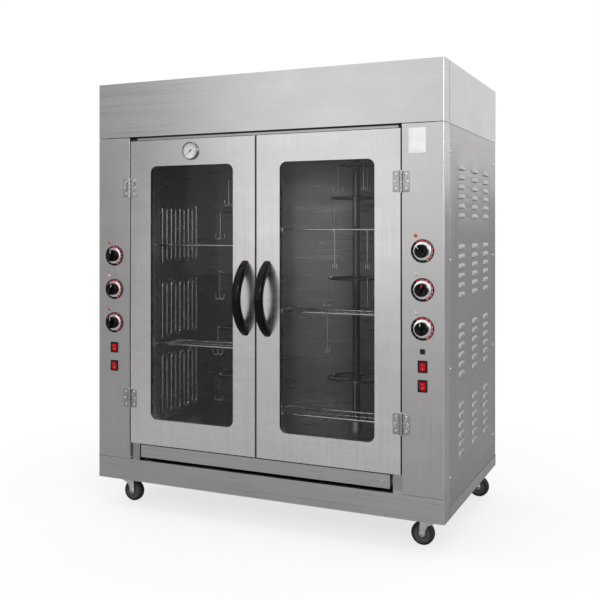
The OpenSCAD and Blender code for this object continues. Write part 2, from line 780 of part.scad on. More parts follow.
module drip_pan() color(steel) difference() {
    block([-pan_w / 2, pan_w / 2], [front_y + pan_front, front_y + pan_front + pan_d],
        [pan_z, pan_z + pan_h]);
    block([-pan_w / 2 + sheet, pan_w / 2 - sheet],
        [front_y + pan_front + sheet, front_y + pan_front + pan_d - sheet],
        [pan_z + sheet, pan_z + pan_h + cut]);
}

module drawer_rails() color(dark_steel) both_sides() {
    x0 = pan_w / 2 + 0.8;
    y0 = front_y + liner_depth;
    y1 = rear_y - sheet - frame_t - seat_gap;
    block([x0 - 14, x0 + 2], [y0, y1], [pan_z - 2.3, pan_z - 0.3]);
    block([x0, x0 + 2], [y0, y1], [pan_z - 2.3, pan_z + pan_h]);
    block([x0, jamb_x + 12], [y0, y0 + 2], [pan_z - 2.3, pan_z + pan_h]);
}

// ---- controls -----------------------------------------------------------

// Everything a dial needs behind its column: body, bush and bore for the spindle
module thermostat(x, z) difference() {
    union() {
        translate([x, front_y + sheet + thermostat_size[1] / 2, z]) cube(thermostat_size, center = true);
        rod_y(x, z, bush_r, front_y - 1, front_y + 4);
    }
    rod_y(x, z, spindle_r + run_gap, front_y - 5, front_y + 14);
}

module thermostats() color("#c9c2a8") for (side = [-1, 1])
    for (z = pick(side, left_dial_zs, right_dial_zs)) thermostat(side * column_parts_x, base_z + z);

module indicator_lamps() color(red) for (side = [-1, 1])
    for (z = pick(side, left_dial_zs, right_dial_zs)) {
        x = side * column_parts_x + lamp_dx;
        h = base_z + z + lamp_dz;
        rod_y(x, h, lamp_stem_r, front_y - cut, front_y + 14);
        intersection() {
            translate([x, front_y + 2, h]) sphere(lamp_r + 1);
            rod_y(x, h, lamp_r, front_y - 8, front_y);
        }
    }

// Scale rings that stay still behind the knobs
module dial_rings() color(black) for (side = [-1, 1])
    for (z = pick(side, left_dial_zs, right_dial_zs)) difference() {
        rod_y(side * column_parts_x, base_z + z, dial_r, front_y - seat_gap - dial_t,
            front_y - seat_gap);
        rod_y(side * column_parts_x, base_z + z, bush_r + 0.5, front_y - dial_t - cut, front_y);
    }

// Dial knob with a round body and a finger bar, turned by angle clockwise
module knob(side, z, angle) color(black) {
    back = front_y - seat_gap - dial_t - 0.3;
    bar_w = 10;
    body_h = knob_h * 0.6;
    translate([side * column_parts_x, back, base_z + z]) rotate([0, angle, 0]) {
        rod_y(0, 0, knob_r, -body_h, 0);
        rod_y(0, 0, spindle_r, -1, dial_t + 12);
        intersection() {
            translate([-bar_w / 2, -knob_h, -knob_r]) cube([bar_w, knob_h - 5, 2 * knob_r]);
            rod_y(0, 0, knob_r - 1, -knob_h, -5);
        }
    }
}

module switch_housings() color(black) {
    for (side = [-1, 1]) for (z = pick(side, left_switch_zs, right_switch_zs))
        translate([side * column_parts_x, front_y, base_z + z]) difference() {
            union() {
                translate([0, -1.25, 0]) cube([bezel_size[0], 2.5, bezel_size[1]], center = true);
                translate([0, switch_depth / 2 - cut / 2, 0])
                    cube([bezel_size[0] - 3.4, switch_depth + cut, bezel_size[1] - 3.4], center = true);
            }
            translate([0, 2.25, 0])
                cube([bezel_size[0] - 8, 10.5, bezel_size[1] - 7], center = true);
            rod_x(rocker_pivot, 0, 1 + run_gap, 0.6 - bezel_size[0] / 2 + 2.4,
                bezel_size[0] / 2 - 3);
        }
    translate([column_parts_x, front_y, base_z + buzzer_z]) {
        translate([0, -1, 0]) cube([13, 2, 13], center = true);
        translate([0, 5, 0]) cube([8.6, 12, 8.6], center = true);
    }
}

// Rocker paddle on its pivot pin, at rest with its upper half out
module rocker(side, z) color(red) translate([side * column_parts_x, front_y + rocker_pivot, base_z + z]) {
    w = bezel_size[0] - 8.6;
    h = bezel_size[1] - 9;
    rotate([rocker_tilt, 0, 0]) cube([w, 7, h], center = true);
    rod_x(0, 0, 1, -w / 2 - 0.8, w / 2 + 0.8);
}

module cable_gland() color(black) difference() {
    union() {
        rod_y(gland_x, gland_z, gland_bore_r + 4, rear_y - 14, rear_y + gland_reach);
        rod_y(gland_x, gland_z, gland_bore_r + 8, rear_y, rear_y + gland_reach * 0.6);
    }
    rod_y(gland_x, gland_z, gland_bore_r, rear_y - 16, rear_y + gland_reach + cut);
}

// ---- doors --------------------------------------------------------------

module window_outline(grow) {
    translate([0, (window_z0 + window_z1) / 2])
        round_rect(window_w + 2 * grow, window_z1 - window_z0 + 2 * grow, window_r + grow / 2);
}

module door_frame(side) color(steel) translate([side * door_x, 0, 0]) {
    difference() {
        slab_y(front_y, door_t) translate([0, (door_z0 + door_z1) / 2])
            round_rect(door_w, door_z1 - door_z0, 1);
        slab_y(front_y - cut, door_t + 2 * cut) window_outline(0);
        slab_y(front_y + sheet, door_t) window_outline(glass_lip);
        // hollow between the skins, open through the drain slots
        slab_y(front_y + sheet, door_t - 2 * sheet) difference() {
            translate([0, (door_z0 + door_z1) / 2])
                square([door_w - 2 * sheet, door_z1 - door_z0 - 2 * sheet], center = true);
            window_outline(glass_lip + sheet);
        }
        for (x = [-120, 120]) translate([x, front_y + door_t / 2, door_z0])
            cube([30, 8, 4 * sheet], center = true);
        if (side < 0) rod_y(0, thermo_z, stem_r + 0.1, front_y - cut, front_y + door_t + cut);
    }
}

module door_glass(side) color("#9fb0b4", 0.35) translate([side * door_x, 0, 0])
    slab_y(front_y + sheet + seat_gap, glass_t) window_outline(glass_lip - 0.3);

// Points along a handle's bow, from its lower foot to its upper one: [reach, height]
handle_steps = 8;
handle_rise = handle_reach - handle_w / 2;
handle_span = handle_h - handle_w;
function bow(i) = [handle_rise * pow(sin(180 * i / handle_steps), 0.8),
    -handle_span / 2 * cos(180 * i / handle_steps)];

module handle_ball(i) {
    translate([0, -bow(i)[0], bow(i)[1]]) sphere(handle_w / 2, $fn = 24);
}

// Bowed handle bar, cut flat where its feet meet the door
module door_handle(side) color(black) translate([side * handle_x, front_y, base_z + handle_z])
    difference() {
        for (i = [0 : handle_steps - 1]) hull() {
            handle_ball(i);
            handle_ball(i + 1);
        }
        translate([-handle_w, 0, -handle_h]) cube([2 * handle_w, handle_w, 2 * handle_h]);
    }

// Heights of the knuckle's joints within one hinge, from its lower end
function knuckle_zs() = [for (i = [0 : 5]) i * hinge_h / 5];

// The knuckles of one hinge leaf: odd or even sections
module knuckles(z, first) {
    for (i = [first : 2 : 4])
        rod_z(0, 0, knuckle_r, z + knuckle_zs()[i] + 0.15, z + knuckle_zs()[i + 1] - 0.15);
}

module leaf_plate(z) {
    r = 5;
    y = knuckle_r + seat_gap - leaf_t;
    slab_y(y, leaf_t) translate([knuckle_r + leaf_w / 2 - 2, z + hinge_h / 2])
        round_rect(leaf_w + 4, hinge_h - 1, r);
}

// Fixed leaves on the columns, with the pins
module hinge_leaves_fixed() color(steel) both_sides() for (h = hinge_zs) {
    z = base_z + h - hinge_h / 2;
    translate([hinge_x, hinge_y, 0]) {
        difference() {
            union() {
                knuckles(z, 0);
                leaf_plate(z);
            }
            for (i = [1, 3]) rod_z(0, 0, knuckle_r + 0.3, z + knuckle_zs()[i], z + knuckle_zs()[i + 1]);
        }
        rod_z(0, 0, pin_r, z - 1.5, z + hinge_h + 1.5);
    }
}

module door_hinge_leaves(side) color(steel) mirror([side < 0 ? 1 : 0, 0, 0])
    for (h = hinge_zs) {
        z = base_z + h - hinge_h / 2;
        translate([hinge_x, hinge_y, 0]) difference() {
            union() {
                knuckles(z, 1);
                mirror([1, 0, 0]) leaf_plate(z);
            }
            for (i = [0, 2, 4])
                rod_z(0, 0, knuckle_r + 0.3, z + knuckle_zs()[i] - 0.01, z + knuckle_zs()[i + 1]);
            rod_z(0, 0, pin_r + run_gap, z - 2, z + hinge_h + 2);
        }
    }

module door_catches() color(black) both_sides() {
    block([14, 54], [front_y + door_t + 0.8, front_y + face_depth],
        [ceiling_z + 4, ceiling_z + 24]);
}

module thermometer_case() color(steel) translate([thermo_x, front_y, thermo_z]) difference() {
    union() {
        rod_y(0, 0, thermo_r, -9, 0);
        rod_y(0, 0, stem_r, -1, door_t + stem_out);
    }
    rod_y(0, 0, thermo_r - 3, -10, -4);
    rod_y(0, 0, 1.5 + run_gap, -5, -1);
}

module thermometer_needle() color(black) translate([thermo_x, front_y, thermo_z]) {
    rod_y(0, 0, 1.5, -6.5, -1.5);
    rotate([0, needle_angle, 0]) block([-0.9, 0.9], [-6.5, -5.5], [-6, thermo_r - 7]);
    rod_y(0, 0, 2.4, -6.5, -5);
}

// ---- casters ------------------------------------------------------------

caster_x = hx - caster_in_x;
caster_y = [front_y + caster_in_y, rear_y - caster_in_y];
plate_z = base_z - 3;
fork_top = 2 * wheel_r + 3;
cheek_t = 2.5;
stem_rad = 6;

module caster_plates() color("#c9c9cb") for (sx = [-1, 1], y = caster_y) difference() {
    translate([sx * caster_x - 29, y - 29, plate_z]) cube([58, 58, 3]);
    rod_z(sx * caster_x, y, stem_rad + run_gap, plate_z - cut, base_z + cut);
}

// Fork at a caster place, its wheel trailing towards dir along X
module fork(sx, y, dir) color("#c9c9cb") translate([sx * caster_x, y, 0]) mirror([dir < 0 ? 1 : 0, 0, 0]) {
    gap = wheel_w / 2 + 1.5;
    for (sy = [-1, 1]) {
        slab_y(sy > 0 ? gap : -gap - cheek_t, cheek_t) difference() {
            union() {
                polygon([[-18, fork_top + cheek_t], [24, fork_top + cheek_t],
                    [trail + 8, wheel_r + 3], [trail - 8, wheel_r - 3]]);
                translate([trail, wheel_r]) circle(8);
            }
        }
        rod_y(trail, wheel_r, 5, sy > 0 ? gap + cheek_t : -gap - cheek_t - 3,
            sy > 0 ? gap + cheek_t + 3 : -gap - cheek_t);
    }
    block([-18, 24], [-gap - cheek_t, gap + cheek_t], [fork_top, fork_top + cheek_t]);
    rod_z(0, 0, 17, fork_top + cheek_t, plate_z - 0.3);
    rod_z(0, 0, stem_rad, plate_z - 1, plate_z + 2.5);
    rod_y(trail, wheel_r, 3, -gap - 1, gap + 1);
}

module caster_wheel(sx, y, dir) color(black) translate([sx * caster_x + dir * trail, y, wheel_r]) {
    difference() {
        union() {
            rod_y(0, 0, wheel_r, -wheel_w / 2 + 3, wheel_w / 2 - 3);
            rod_y(0, 0, wheel_r - 2, -wheel_w / 2, wheel_w / 2);
        }
        for (s = [-1, 1]) rotate([0, 0, s > 0 ? 0 : 180]) difference() {
            rod_y(0, 0, wheel_r - 8, wheel_w / 2 - 3, wheel_w / 2 + cut);
            rod_y(0, 0, 9, wheel_w / 2 - 4, wheel_w / 2 + 2 * cut);
        }
        rod_y(0, 0, 3 + run_gap, -wheel_w / 2 - cut, wheel_w / 2 + cut);
    }
}

// ---- fasteners ----------------------------------------------------------

module screws() color("#d5d5d6") {
    both_sides() for (d = side_screw_depths, z = side_screw_zs) {
        rod_x(front_y + d, z, screw_r, hx - sheet - frame_t - 2, hx + 0.5);
        rod_x(front_y + d, z, screw_head_r, hx, hx + 2);
    }
    for (sx = [-1, 1], z = side_screw_zs) {
        rod_y(sx * rear_screw_x, z, screw_r, rear_y - sheet - frame_t - 2, rear_y + 0.5);
        rod_y(sx * rear_screw_x, z, screw_head_r, rear_y, rear_y + 2);
    }
}

plinth();
inner_frame();
column(-1);  // column_left
column(1);  // column_right
hood();
side_panel(-1);  // side_panel_left
side_panel(1);  // side_panel_right
rear_panel();
oven_liner();
heaters();
dial_rings();
heater_mounts();
gearmotors();
shaft_bearings();
drawer_rails();
thermostats();
switch_housings();
indicator_lamps();
cable_gland();
hinge_leaves_fixed();
caster_plates();
screws();
rack_posts();
wire_racks();
rack_hooks();
door_catches();
door_frame(-1);  // door_left_frame
door_glass(-1);  // door_left_glass
door_handle(-1);  // door_left_handle
door_hinge_leaves(-1);  // door_left_hinge_leaves
door_frame(1);  // door_right_frame
door_glass(1);  // door_right_glass
door_handle(1);  // door_right_handle
door_hinge_leaves(1);  // door_right_hinge_leaves
thermometer_case();
thermometer_needle();
drawer_front();
drip_pan();
rotor(-1);  // rotor_left
rotor_hooks(-1);  // rotor_left_hooks
rotor(1);  // rotor_right
rotor_hooks(1);  // rotor_right_hooks
knob(-1, left_dial_zs[0], 10);  // knob_left_top
knob(-1, left_dial_zs[1], 25);  // knob_left_middle
knob(-1, left_dial_zs[2], 5);  // knob_left_bottom
knob(1, right_dial_zs[0], -40);  // knob_right_top
knob(1, right_dial_zs[1], 20);  // knob_right_middle
knob(1, right_dial_zs[2], 0);  // knob_right_bottom
rocker(-1, left_switch_zs[0]);  // rocker_left_upper
rocker(-1, left_switch_zs[1]);  // rocker_left_lower
rocker(1, right_switch_zs[0]);  // rocker_right_upper
rocker(1, right_switch_zs[1]);  // rocker_right_lower
fork(-1, caster_y[0], 1);  // fork_front_left
fork(1, caster_y[0], -1);  // fork_front_right
fork(-1, caster_y[1], 1);  // fork_rear_left
fork(1, caster_y[1], 1);  // fork_rear_right
caster_wheel(-1, caster_y[0], 1);  // wheel_front_left
caster_wheel(1, caster_y[0], -1);  // wheel_front_right
caster_wheel(-1, caster_y[1], 1);  // wheel_rear_left
caster_wheel(1, caster_y[1], 1);  // wheel_rear_right
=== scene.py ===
"""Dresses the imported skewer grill: studio, finishes and the detailed pieces that stand for CAD nodes.

The pieces are drawn in millimetres, which the modelling calls turn into the frame's metres. The studio is in metres.
"""

from __future__ import annotations

import logging
import math
from contextlib import contextmanager
from dataclasses import dataclass, field
from enum import Enum
from typing import Iterable, Iterator, Sequence

import bpy
from mathutils import Matrix, Vector
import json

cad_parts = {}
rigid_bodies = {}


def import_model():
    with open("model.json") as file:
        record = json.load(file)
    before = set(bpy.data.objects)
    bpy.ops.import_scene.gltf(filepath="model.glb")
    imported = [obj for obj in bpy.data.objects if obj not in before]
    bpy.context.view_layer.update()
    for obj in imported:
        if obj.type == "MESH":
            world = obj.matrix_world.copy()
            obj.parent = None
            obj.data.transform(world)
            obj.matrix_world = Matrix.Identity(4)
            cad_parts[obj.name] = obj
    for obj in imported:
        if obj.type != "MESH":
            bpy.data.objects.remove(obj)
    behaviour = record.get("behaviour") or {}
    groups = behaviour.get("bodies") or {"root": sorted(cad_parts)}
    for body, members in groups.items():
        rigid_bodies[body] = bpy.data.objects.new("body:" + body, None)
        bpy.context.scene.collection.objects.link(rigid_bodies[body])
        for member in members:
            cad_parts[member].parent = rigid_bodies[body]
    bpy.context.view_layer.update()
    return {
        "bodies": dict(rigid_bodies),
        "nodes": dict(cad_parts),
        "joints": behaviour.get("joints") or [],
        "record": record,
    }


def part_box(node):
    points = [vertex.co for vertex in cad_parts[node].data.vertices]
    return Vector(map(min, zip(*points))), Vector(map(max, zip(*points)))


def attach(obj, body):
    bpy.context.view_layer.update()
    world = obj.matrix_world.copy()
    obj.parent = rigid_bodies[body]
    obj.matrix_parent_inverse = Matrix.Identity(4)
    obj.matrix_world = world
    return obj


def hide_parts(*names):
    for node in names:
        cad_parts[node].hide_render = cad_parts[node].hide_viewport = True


LOG = logging.getLogger("skewer_grill")
Obj = bpy.types.Object
Socket = bpy.types.NodeSocket
Point = tuple[float, float, float]
Flat = tuple[float, float]
MM = 0.001
WELD = 0.00001
EVEN = (1.0, 1.0, 1.0)
MIRROR = Matrix.Scale(-1, 4, (1, 0, 0))


class Axis(Enum):
    """The three axes of the part's frame."""

    X = 0
    Y = 1
    Z = 2

    def vector(self) -> Vector:
        """The axis as a unit vector."""
        return Vector([1.0 if i == self.value else 0.0 for i in range(3)])


class Side(Enum):
    """The left and right half of the cabinet, seen from its doors."""

    LEFT = "left"
    RIGHT = "right"

    @property
    def sign(self) -> int:
        """-1 on the left, 1 on the right."""
        return -1 if self is Side.LEFT else 1


# ---------------------------------------------------------------- finishes


class NodeSheet:
    """The node tree of a material or of the surroundings."""

    def __init__(self, owner: bpy.types.ID) -> None:
        """Turns the owner's nodes on."""
        owner.use_nodes = True
        self.owner = owner
        self.tree = owner.node_tree
        self.shader = self.tree.nodes.get("Principled BSDF")

    def feed(self, node: bpy.types.Node, **values: object) -> None:
        """Sets a node's inputs.

        Args:
            node: The node.
            **values: A constant or a socket for each input, named with underscores for spaces, or _0, _1 and so on.
        """
        for key, value in values.items():
            target = node.inputs[int(key[1:]) if key[0] == "_" else key.replace("_", " ")]
            if isinstance(value, Socket):
                self.tree.links.new(value, target)
            else:
                target.default_value = value

    def node(self, kind: str, **values: object) -> bpy.types.Node:
        """Adds a node. Small names are its settings, and the others its inputs as in feed()."""
        made = self.tree.nodes.new(f"ShaderNode{kind}")
        for key in [key for key in values if key[0].islower()]:
            setattr(made, key, values.pop(key))
        self.feed(made, **values)
        return made

    def math(self, kind: str, a: object, b: object) -> Socket:
        """The result of a maths node."""
        return self.node("Math", operation=kind, _0=a, _1=b).outputs[0]

    def noise(self, scale: Point, size: float, detail: float) -> Socket:
        """The factor of a noise on Object coordinates, stretched along the axes."""
        place = self.node("TexCoord").outputs["Object"]
        mapped = self.node("Mapping", Vector=place, Scale=scale).outputs["Vector"]
        return self.node("TexNoise", Vector=mapped, Scale=size, Detail=detail).outputs["Fac"]

    def ramp(self, source: Socket, low: float, high: float, start: float = 0.3, end: float = 0.7) -> Socket:
        """Maps start..end of a value onto low..high, held at the ends."""
        return self.node(
            "MapRange", Value=source, From_Min=start, From_Max=end, To_Min=low, To_Max=high
        ).outputs["Result"]

    def mix(self, factor: Socket, a: object, b: object) -> Socket:
        """Mixes two colours, each a socket or a linear colour."""
        first, second = (c if isinstance(c, Socket) else (*c, 1.0) for c in (a, b))
        return self.node("Mix", data_type="RGBA", A=first, B=second, Factor=factor).outputs["Result"]

    def bump(self, height: Socket, strength: float, distance: float) -> None:
        """Feeds a height into the shader's normal."""
        made = self.node("Bump", Strength=strength, Distance=distance, Height=height)
        self.feed(self.shader, Normal=made.outputs["Normal"])


def shade(colour: Point, factor: float) -> Point:
    """A colour made darker or paler by a factor."""
    return tuple(min(1.0, c * factor) for c in colour)


@dataclass(frozen=True)
class BrushedSteel:
    """Stainless sheet, brushed along one or two axes.

    Attributes:
        name: Material name.
        tone: Linear base colour.
        grain: Stretch of the brushing; large numbers lie across it.
        roughness: Mean roughness.
        streak: Share by which the brushing changes the colour.
        relief: Strength of the brushing's bump.
        stain: Colour of heat tint, mixed in by large soft patches.
        stain_share: The most of that tint.
        painted_reflection_lift: Share of painted reflection by which the sheet is made lighter near the floor than at
            the top.
    """

    name: str
    tone: Point
    grain: Point
    roughness: float
    streak: float
    relief: float
    stain: Point = (0.5, 0.42, 0.32)
    stain_share: float = 0.0
    painted_reflection_lift: float = 0.0

    def build(self) -> bpy.types.Material:
        """Makes the material."""
        sheet = NodeSheet(bpy.data.materials.new(self.name))
        fine = sheet.noise(self.grain, 1.0, 5.0)
        cloud = sheet.noise(EVEN, 3.2, 3.0)
        smear = sheet.noise((1.0, 1.0, 2.5), 9.0, 4.0)
        both = sheet.math("ADD", sheet.math("MULTIPLY", fine, 0.7), sheet.math("MULTIPLY", cloud, 0.3))
        colour = sheet.mix(
            sheet.ramp(both, 0.0, 1.0), shade(self.tone, 1 - self.streak), shade(self.tone, 1 + self.streak)
        )
        if self.stain_share > 0:
            colour = sheet.mix(sheet.ramp(cloud, 0.0, self.stain_share), colour, self.stain)
        # Painted reflection: the colour is scaled up from 1 m down to 0.25 m, so the sheet looks paler near the
        # floor.
        if self.painted_reflection_lift > 0:
            place = sheet.node("TexCoord").outputs["Object"]
            height = sheet.node("SeparateXYZ", Vector=place).outputs["Z"]
            painted_reflection_gain = sheet.ramp(height, 1.0, 1 + self.painted_reflection_lift, 1.0, 0.25)
            colour = sheet.node("VectorMath", operation="SCALE", Vector=colour, Scale=painted_reflection_gain).outputs["Vector"]
        brushed = sheet.ramp(fine, self.roughness - 0.05, self.roughness + 0.05)
        rough = sheet.math("ADD", brushed, sheet.ramp(smear, -0.025, 0.035))
        sheet.feed(sheet.shader, Metallic=1.0, Base_Color=colour, Roughness=rough)
        sheet.bump(fine, self.relief, 0.0004)
        return sheet.owner


@dataclass(frozen=True)
class Finish:
    """A finish with soft unevenness and a fine skin.

    Attributes:
        name: Material name.
        tone: Linear base colour.
        rough: Least and greatest roughness.
        wear: Scale of the unevenness.
        spread: Shares of the tone between which it lies.
        skin: Scale and detail of the skin.
        relief: Strength of the skin's bump.
        extra: Constants for the shader's other inputs.
    """

    name: str
    tone: Point
    rough: Flat
    wear: float
    spread: Flat
    skin: Flat = (1.0, 1.0)
    relief: float = 0.0
    extra: dict[str, float] = field(default_factory=dict)

    def build(self) -> bpy.types.Material:
        """Makes the material."""
        sheet = NodeSheet(bpy.data.materials.new(self.name))
        wear = sheet.noise(EVEN, self.wear, 5.0)
        colour = sheet.mix(sheet.ramp(wear, 0.0, 1.0), *(shade(self.tone, share) for share in self.spread))
        sheet.feed(sheet.shader, Base_Color=colour, Roughness=sheet.ramp(wear, *self.rough), **self.extra)
        if self.relief > 0:
            sheet.bump(sheet.noise(EVEN, *self.skin), self.relief, 0.0002)
        return sheet.owner


def metal(name: str, tone: Point, roughness: float = 0.12, relief: float = 0.03, share: float = 1.0) -> Finish:
    """Polished, plated, cast or painted metal with faint wear."""
    rough = (max(0.02, roughness - 0.05), roughness + 0.07)
    return Finish(name, tone, rough, 38.0, (0.9, 1.06), (420.0, 2.0), relief, {"Metallic": share})


def moulded(
    name: str, tone: Point, roughness: float, grain: float = 700.0, relief: float = 0.08, coat: float = 0.0,
    sheen: float = 0.5,
) -> Finish:
    """Moulded plastic, rubber or print.

    Args:
        name: Material name.
        tone: Linear base colour.
        roughness: Mean roughness.
        grain: Scale of its skin.
        relief: Strength of the skin's bump.
        coat: Weight of a clear gloss on top.
        sheen: Strength of its plain reflection.

    Returns:
        The finish.
    """
    rough = (max(0.03, roughness - 0.05), roughness + 0.08)
    extra = {"Coat_Weight": coat, "Coat_Roughness": 0.05, "Specular_IOR_Level": sheen}
    return Finish(name, tone, rough, 24.0, (0.88, 1.15), (grain, 3.0), relief, extra)


def glass(name: str, tone: Point, cover: float) -> Finish:
    """Clear glass that holds back a share of the light and lets the studio light the cavity."""
    return Finish(name, tone, (0.015, 0.05), 6.0, (1.0, 1.6), extra={"Alpha": cover, "IOR": 1.6, "Metallic": 0.0})


class Palette:
    """Every finish of the grill, made once and handed out by name."""

    def __init__(self) -> None:
        """Builds the materials."""
        along_x = (2.0, 2.0, 420.0)
        along_z = (420.0, 420.0, 2.0)
        steel = (0.56, 0.55, 0.55)
        heat = (0.2, 0.18, 0.16)
        finishes = [
            BrushedSteel("hood_steel", steel, along_x, 0.31, 0.07, 0.07),
            BrushedSteel("column_steel", steel, along_z, 0.32, 0.022, 0.03),
            # Painted light: the doors are a paler copy of the same steel, with painted reflection making them paler
            # still near the floor.
            BrushedSteel("door_steel", shade(steel, 1.05), along_z, 0.27, 0.012, 0.006, painted_reflection_lift=0.42),
            BrushedSteel("panel_steel", shade(steel, 0.86), along_z, 0.38, 0.05, 0.06),
            BrushedSteel("frame_steel", (0.45, 0.44, 0.435), along_z, 0.36, 0.05, 0.04),
            BrushedSteel("liner_steel", (0.3, 0.3, 0.3), (3.0, 3.0, 60.0), 0.3, 0.04, 0.0, heat, 0.3),
            # Painted reflection: the rotors' polished steel is made nearly black, standing for the dark cavity that
            # it mirrors.
            metal("rotor_steel", (0.13, 0.13, 0.13), 0.07, 0.02),
            metal("gauge_steel", (0.3, 0.3, 0.3), 0.08, 0.01),
            metal("bright_steel", (0.72, 0.72, 0.72), 0.16, 0.01),
            metal("hinge_steel", (0.42, 0.415, 0.41), 0.3, 0.02),
            metal("wire_chrome", (0.8, 0.8, 0.8)),
            metal("heater_sheath", (0.62, 0.61, 0.6), 0.24, 0.04),
            metal("zinc_plate", (0.84, 0.84, 0.85), 0.3, 0.06),
            metal("silver_face", (0.86, 0.86, 0.87), 0.2, 0.02),
            metal("motor_paint", (0.07, 0.075, 0.08), 0.45, 0.2, 0.0),
            moulded("black_gloss", (0.004, 0.004, 0.0045), 0.12, 500.0, 0.01, 0.0, 0.14),
            moulded("black_satin", (0.008, 0.008, 0.009), 0.36, 700.0, 0.06, 0.0, 0.25),
            moulded("seam_dark", (0.02, 0.02, 0.02), 0.7),
            moulded("switch_red", (0.5, 0.002, 0.004), 0.25, 500.0, 0.02, 0.0, 0.25),
            moulded("scale_red", (0.5, 0.006, 0.014), 0.3, 700.0, 0.03, 0.0, 0.3),
            moulded("lamp_red", (0.5, 0.02, 0.02), 0.12, 500.0, 0.02, 0.7),
            moulded("lamp_pale", (0.62, 0.5, 0.48), 0.12, 500.0, 0.02, 0.7),
            moulded("print_white", (0.8, 0.8, 0.8), 0.4),
            moulded("print_black", (0.02, 0.02, 0.02), 0.4),
            moulded("label_white", (0.86, 0.86, 0.85), 0.45),
            moulded("tyre_rubber", (0.014, 0.014, 0.014), 0.55, 500.0, 0.2),
            moulded("hub_grey", (0.075, 0.075, 0.078), 0.4),
            moulded("ceramic", (0.62, 0.58, 0.46), 0.55),
            glass("window_glass", (0.02, 0.025, 0.025), 0.2),
            glass("gauge_glass", (0.5, 0.5, 0.5), 0.08),
        ]
        self._made = {finish.name: finish.build() for finish in finishes}

    def __getitem__(self, name: str) -> bpy.types.Material:
        """The material of that name."""
        return self._made[name]


# ---------------------------------------------------------------- outlines and places


def box(node: str) -> tuple[Vector, Vector]:
    """The lowest and highest corner of a CAD node in millimetres."""
    low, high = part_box(node)
    return low / MM, high / MM


def shift(x: float, y: float, z: float) -> Matrix:
    """A move in millimetres."""
    return Matrix.Translation(Vector((x, y, z)) * MM)


def spot(at: Point, axis: Axis, turn: float, up: float) -> Matrix:
    """Where a sheet's own plane lies.

    Args:
        at: The plane's origin.
        axis: The axis across it. For Y the sheet faces -Y, its own X and Y lying along +X and +Z.
        turn: A turn in the sheet's own plane, in radians.
        up: How far the sheet then moves along its own Y.

    Returns:
        The place as a matrix.
    """
    lay = Matrix.Identity(4) if axis is Axis.Z else Matrix.Rotation(math.pi / 2, 4, "X")
    if axis is Axis.X:
        lay = Matrix.Rotation(math.pi / 2, 4, "Z") @ lay
    return shift(*at) @ lay @ Matrix.Rotation(turn, 4, "Z") @ shift(0, up, 0)


def round_box(width: float, height: float, radius: float, steps: int = 8) -> list[Flat]:
    """The outline of a rectangle with round corners about the origin."""
    points: list[Flat] = []
    for sx, sy, start in ((1, 1, 0), (-1, 1, 90), (-1, -1, 180), (1, -1, 270)):
        for i in range(steps + 1):
            a = math.radians(start + 90 * i / steps)
            x, y = sx * (width / 2 - radius), sy * (height / 2 - radius)
            points.append((x + radius * math.cos(a), y + radius * math.sin(a)))
    return points


def ring(radius: float, steps: int, start: float = 0.0) -> list[Flat]:
    """The outline of a circle or polygon about the origin, from an angle in degrees."""
    turns = [math.radians(start + 360 * i / steps) for i in range(steps)]
    return [(radius * math.cos(a), radius * math.sin(a)) for a in turns]


def sector(inner: float, outer: float, start: float, end: float, steps: int) -> list[Flat]:
    """The outline of part of a ring, its angles in degrees clockwise from the top."""
    turns = [math.radians(90 - start - (end - start) * i / steps) for i in range(steps + 1)]
    arcs = [(outer, a) for a in turns] + [(inner, a) for a in reversed(turns)]
    return [(radius * math.cos(a), radius * math.sin(a)) for radius, a in arcs]


# ---------------------------------------------------------------- modelling


